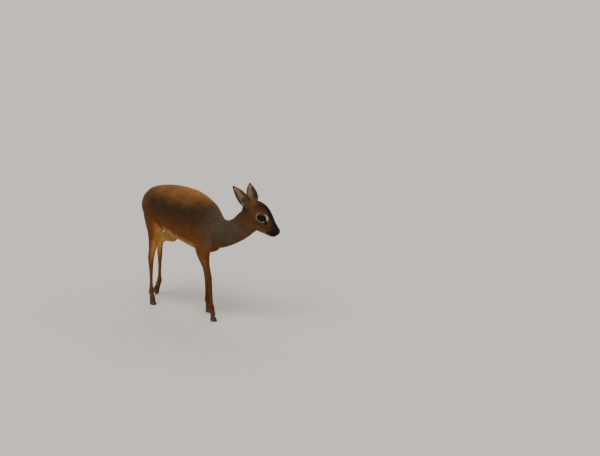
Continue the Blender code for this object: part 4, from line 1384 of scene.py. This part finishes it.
# whiskers are long bent spikes rooted on the lips and the chin
def growWhiskers():
    for sideName, side in sides:
        dice = np.random.default_rng(80 + side)
        lips, chins = whiskerPlan["lip"], whiskerPlan["chin"]
        lip = [dice.uniform(0.009, 0.026, lips), dice.uniform(-0.0135, -0.0060, lips)]
        chin = [dice.uniform(0.012, 0.026, chins), dice.uniform(-0.0260, -0.0215, chins)]
        places = np.concatenate([lip, chin], axis=1).T
        spots = noseTip - places[:, :1] * forward + places[:, 1:] * crown + 0.012 * side * left
        nearest = np.argmin(np.linalg.norm(skinPoints[None] - spots[:, None], axis=2), axis=1)
        roots, normals = skinPoints[nearest], skinNormals[nearest]
        way = -0.75 * forward - 0.45 * crown + dice.normal(0, 0.16, (len(roots), 3))
        way = laidFlat(way, normals)
        length = whiskerPlan["length"] * dice.uniform(0.6, 1.15, len(roots))
        growSpikes("whiskers_" + sideName, roots, normals, way, length, length * 0.55, whiskerPlan)


buildFalseHooves()
growWhiskers()
print("false hooves and whiskers built")


studio = {
    "floorSize": 60.0,
    "floorColour": (0.60, 0.58, 0.55),
    "skyColour": (1.0, 0.98, 0.95),
    "skyStrength": 0.62,
    "keyStrength": 2.1,
    "rimStrength": 0.7,
    "aimHeight": 0.22,
    "cameraAzimuth": 52.0,
    "cameraPitch": 13.0,
    "cameraDistance": 24.0,
    "pixelsPerMetre": 320.0,
    "footPixel": (212.0, 320.6),
    "footPlace": (0.192, -0.030),
    "picture": (600, 456),
    "sensor": 36,
}


def buildFloor():
    half = studio["floorSize"] / 2
    corners = np.array([[-half, -half, 0], [half, -half, 0], [half, half, 0], [-half, half, 0]])
    floor = meshObject("floor", corners, np.array([[0, 1, 2, 3]]))
    made, _, _, shader = newMaterial("paleFloor", 0.9, 0.2)
    shader.inputs["Base Color"].default_value = (*studio["floorColour"], 1)
    floor.data.materials.append(made)
    floor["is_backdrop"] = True


def addLight(name, place, strength, softness, colour=(1, 1, 1)):
    lamp = bpy.data.lights.new(name, "SUN")
    lamp.energy = strength
    lamp.angle = math.radians(softness)
    lamp.color = colour
    holder = addObject(name, lamp)
    holder.location = place
    aim = Vector((0, 0, studio["aimHeight"])) - Vector(place)
    holder.rotation_euler = aim.to_track_quat("-Z", "Y").to_euler()


def buildSky():
    world = bpy.data.worlds.new("studio")
    world.use_nodes = True
    sky = world.node_tree.nodes["Background"]
    sky.inputs["Color"].default_value = (*studio["skyColour"], 1)
    sky.inputs["Strength"].default_value = studio["skyStrength"]
    bpy.context.scene.world = world


# a camera from the photograph's side, placed so that the right forefoot falls on its pixel
def buildCamera():
    azimuth, tilt = math.radians(studio["cameraAzimuth"]), math.radians(studio["cameraPitch"])
    right = Vector((math.cos(azimuth), math.sin(azimuth), 0))
    flat = math.cos(tilt)
    look = Vector((-math.sin(azimuth) * flat, math.cos(azimuth) * flat, -math.sin(tilt)))
    up = right.cross(look)
    lens = bpy.data.cameras.new("camera")
    pixels = studio["pixelsPerMetre"] * studio["cameraDistance"]
    wide, high = studio["picture"]
    lens.sensor_width = studio["sensor"]
    lens.lens = pixels * studio["sensor"] / wide
    lens.clip_end = 200
    foot = Vector((studio["footPlace"][0] + zero[0], studio["footPlace"][1] + zero[1], 0))
    sideways, upwards = studio["footPixel"][0] - wide / 2, high / 2 - studio["footPixel"][1]
    ray = look + right * (sideways / pixels) + up * (upwards / pixels)
    holder = addObject("camera", lens)
    holder.location = foot - ray * studio["cameraDistance"]
    holder.rotation_euler = Matrix((right, up, -look)).transposed().to_euler()
    bpy.context.scene.camera = holder


buildFloor()
addLight("key", (0.7, -1.2, 2.6), studio["keyStrength"], 38, (1.0, 0.96, 0.91))
addLight("rim", (-1.6, 1.6, 1.9), studio["rimStrength"], 30, (1.0, 0.94, 0.86))
buildSky()
buildCamera()

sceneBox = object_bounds()
boxes = {}
for kind, box in (("cad", cadBox), ("visual", sceneBox)):
    boxes[kind] = [list(map(float, corner)) for corner in box]
print("sizes written", boxes)
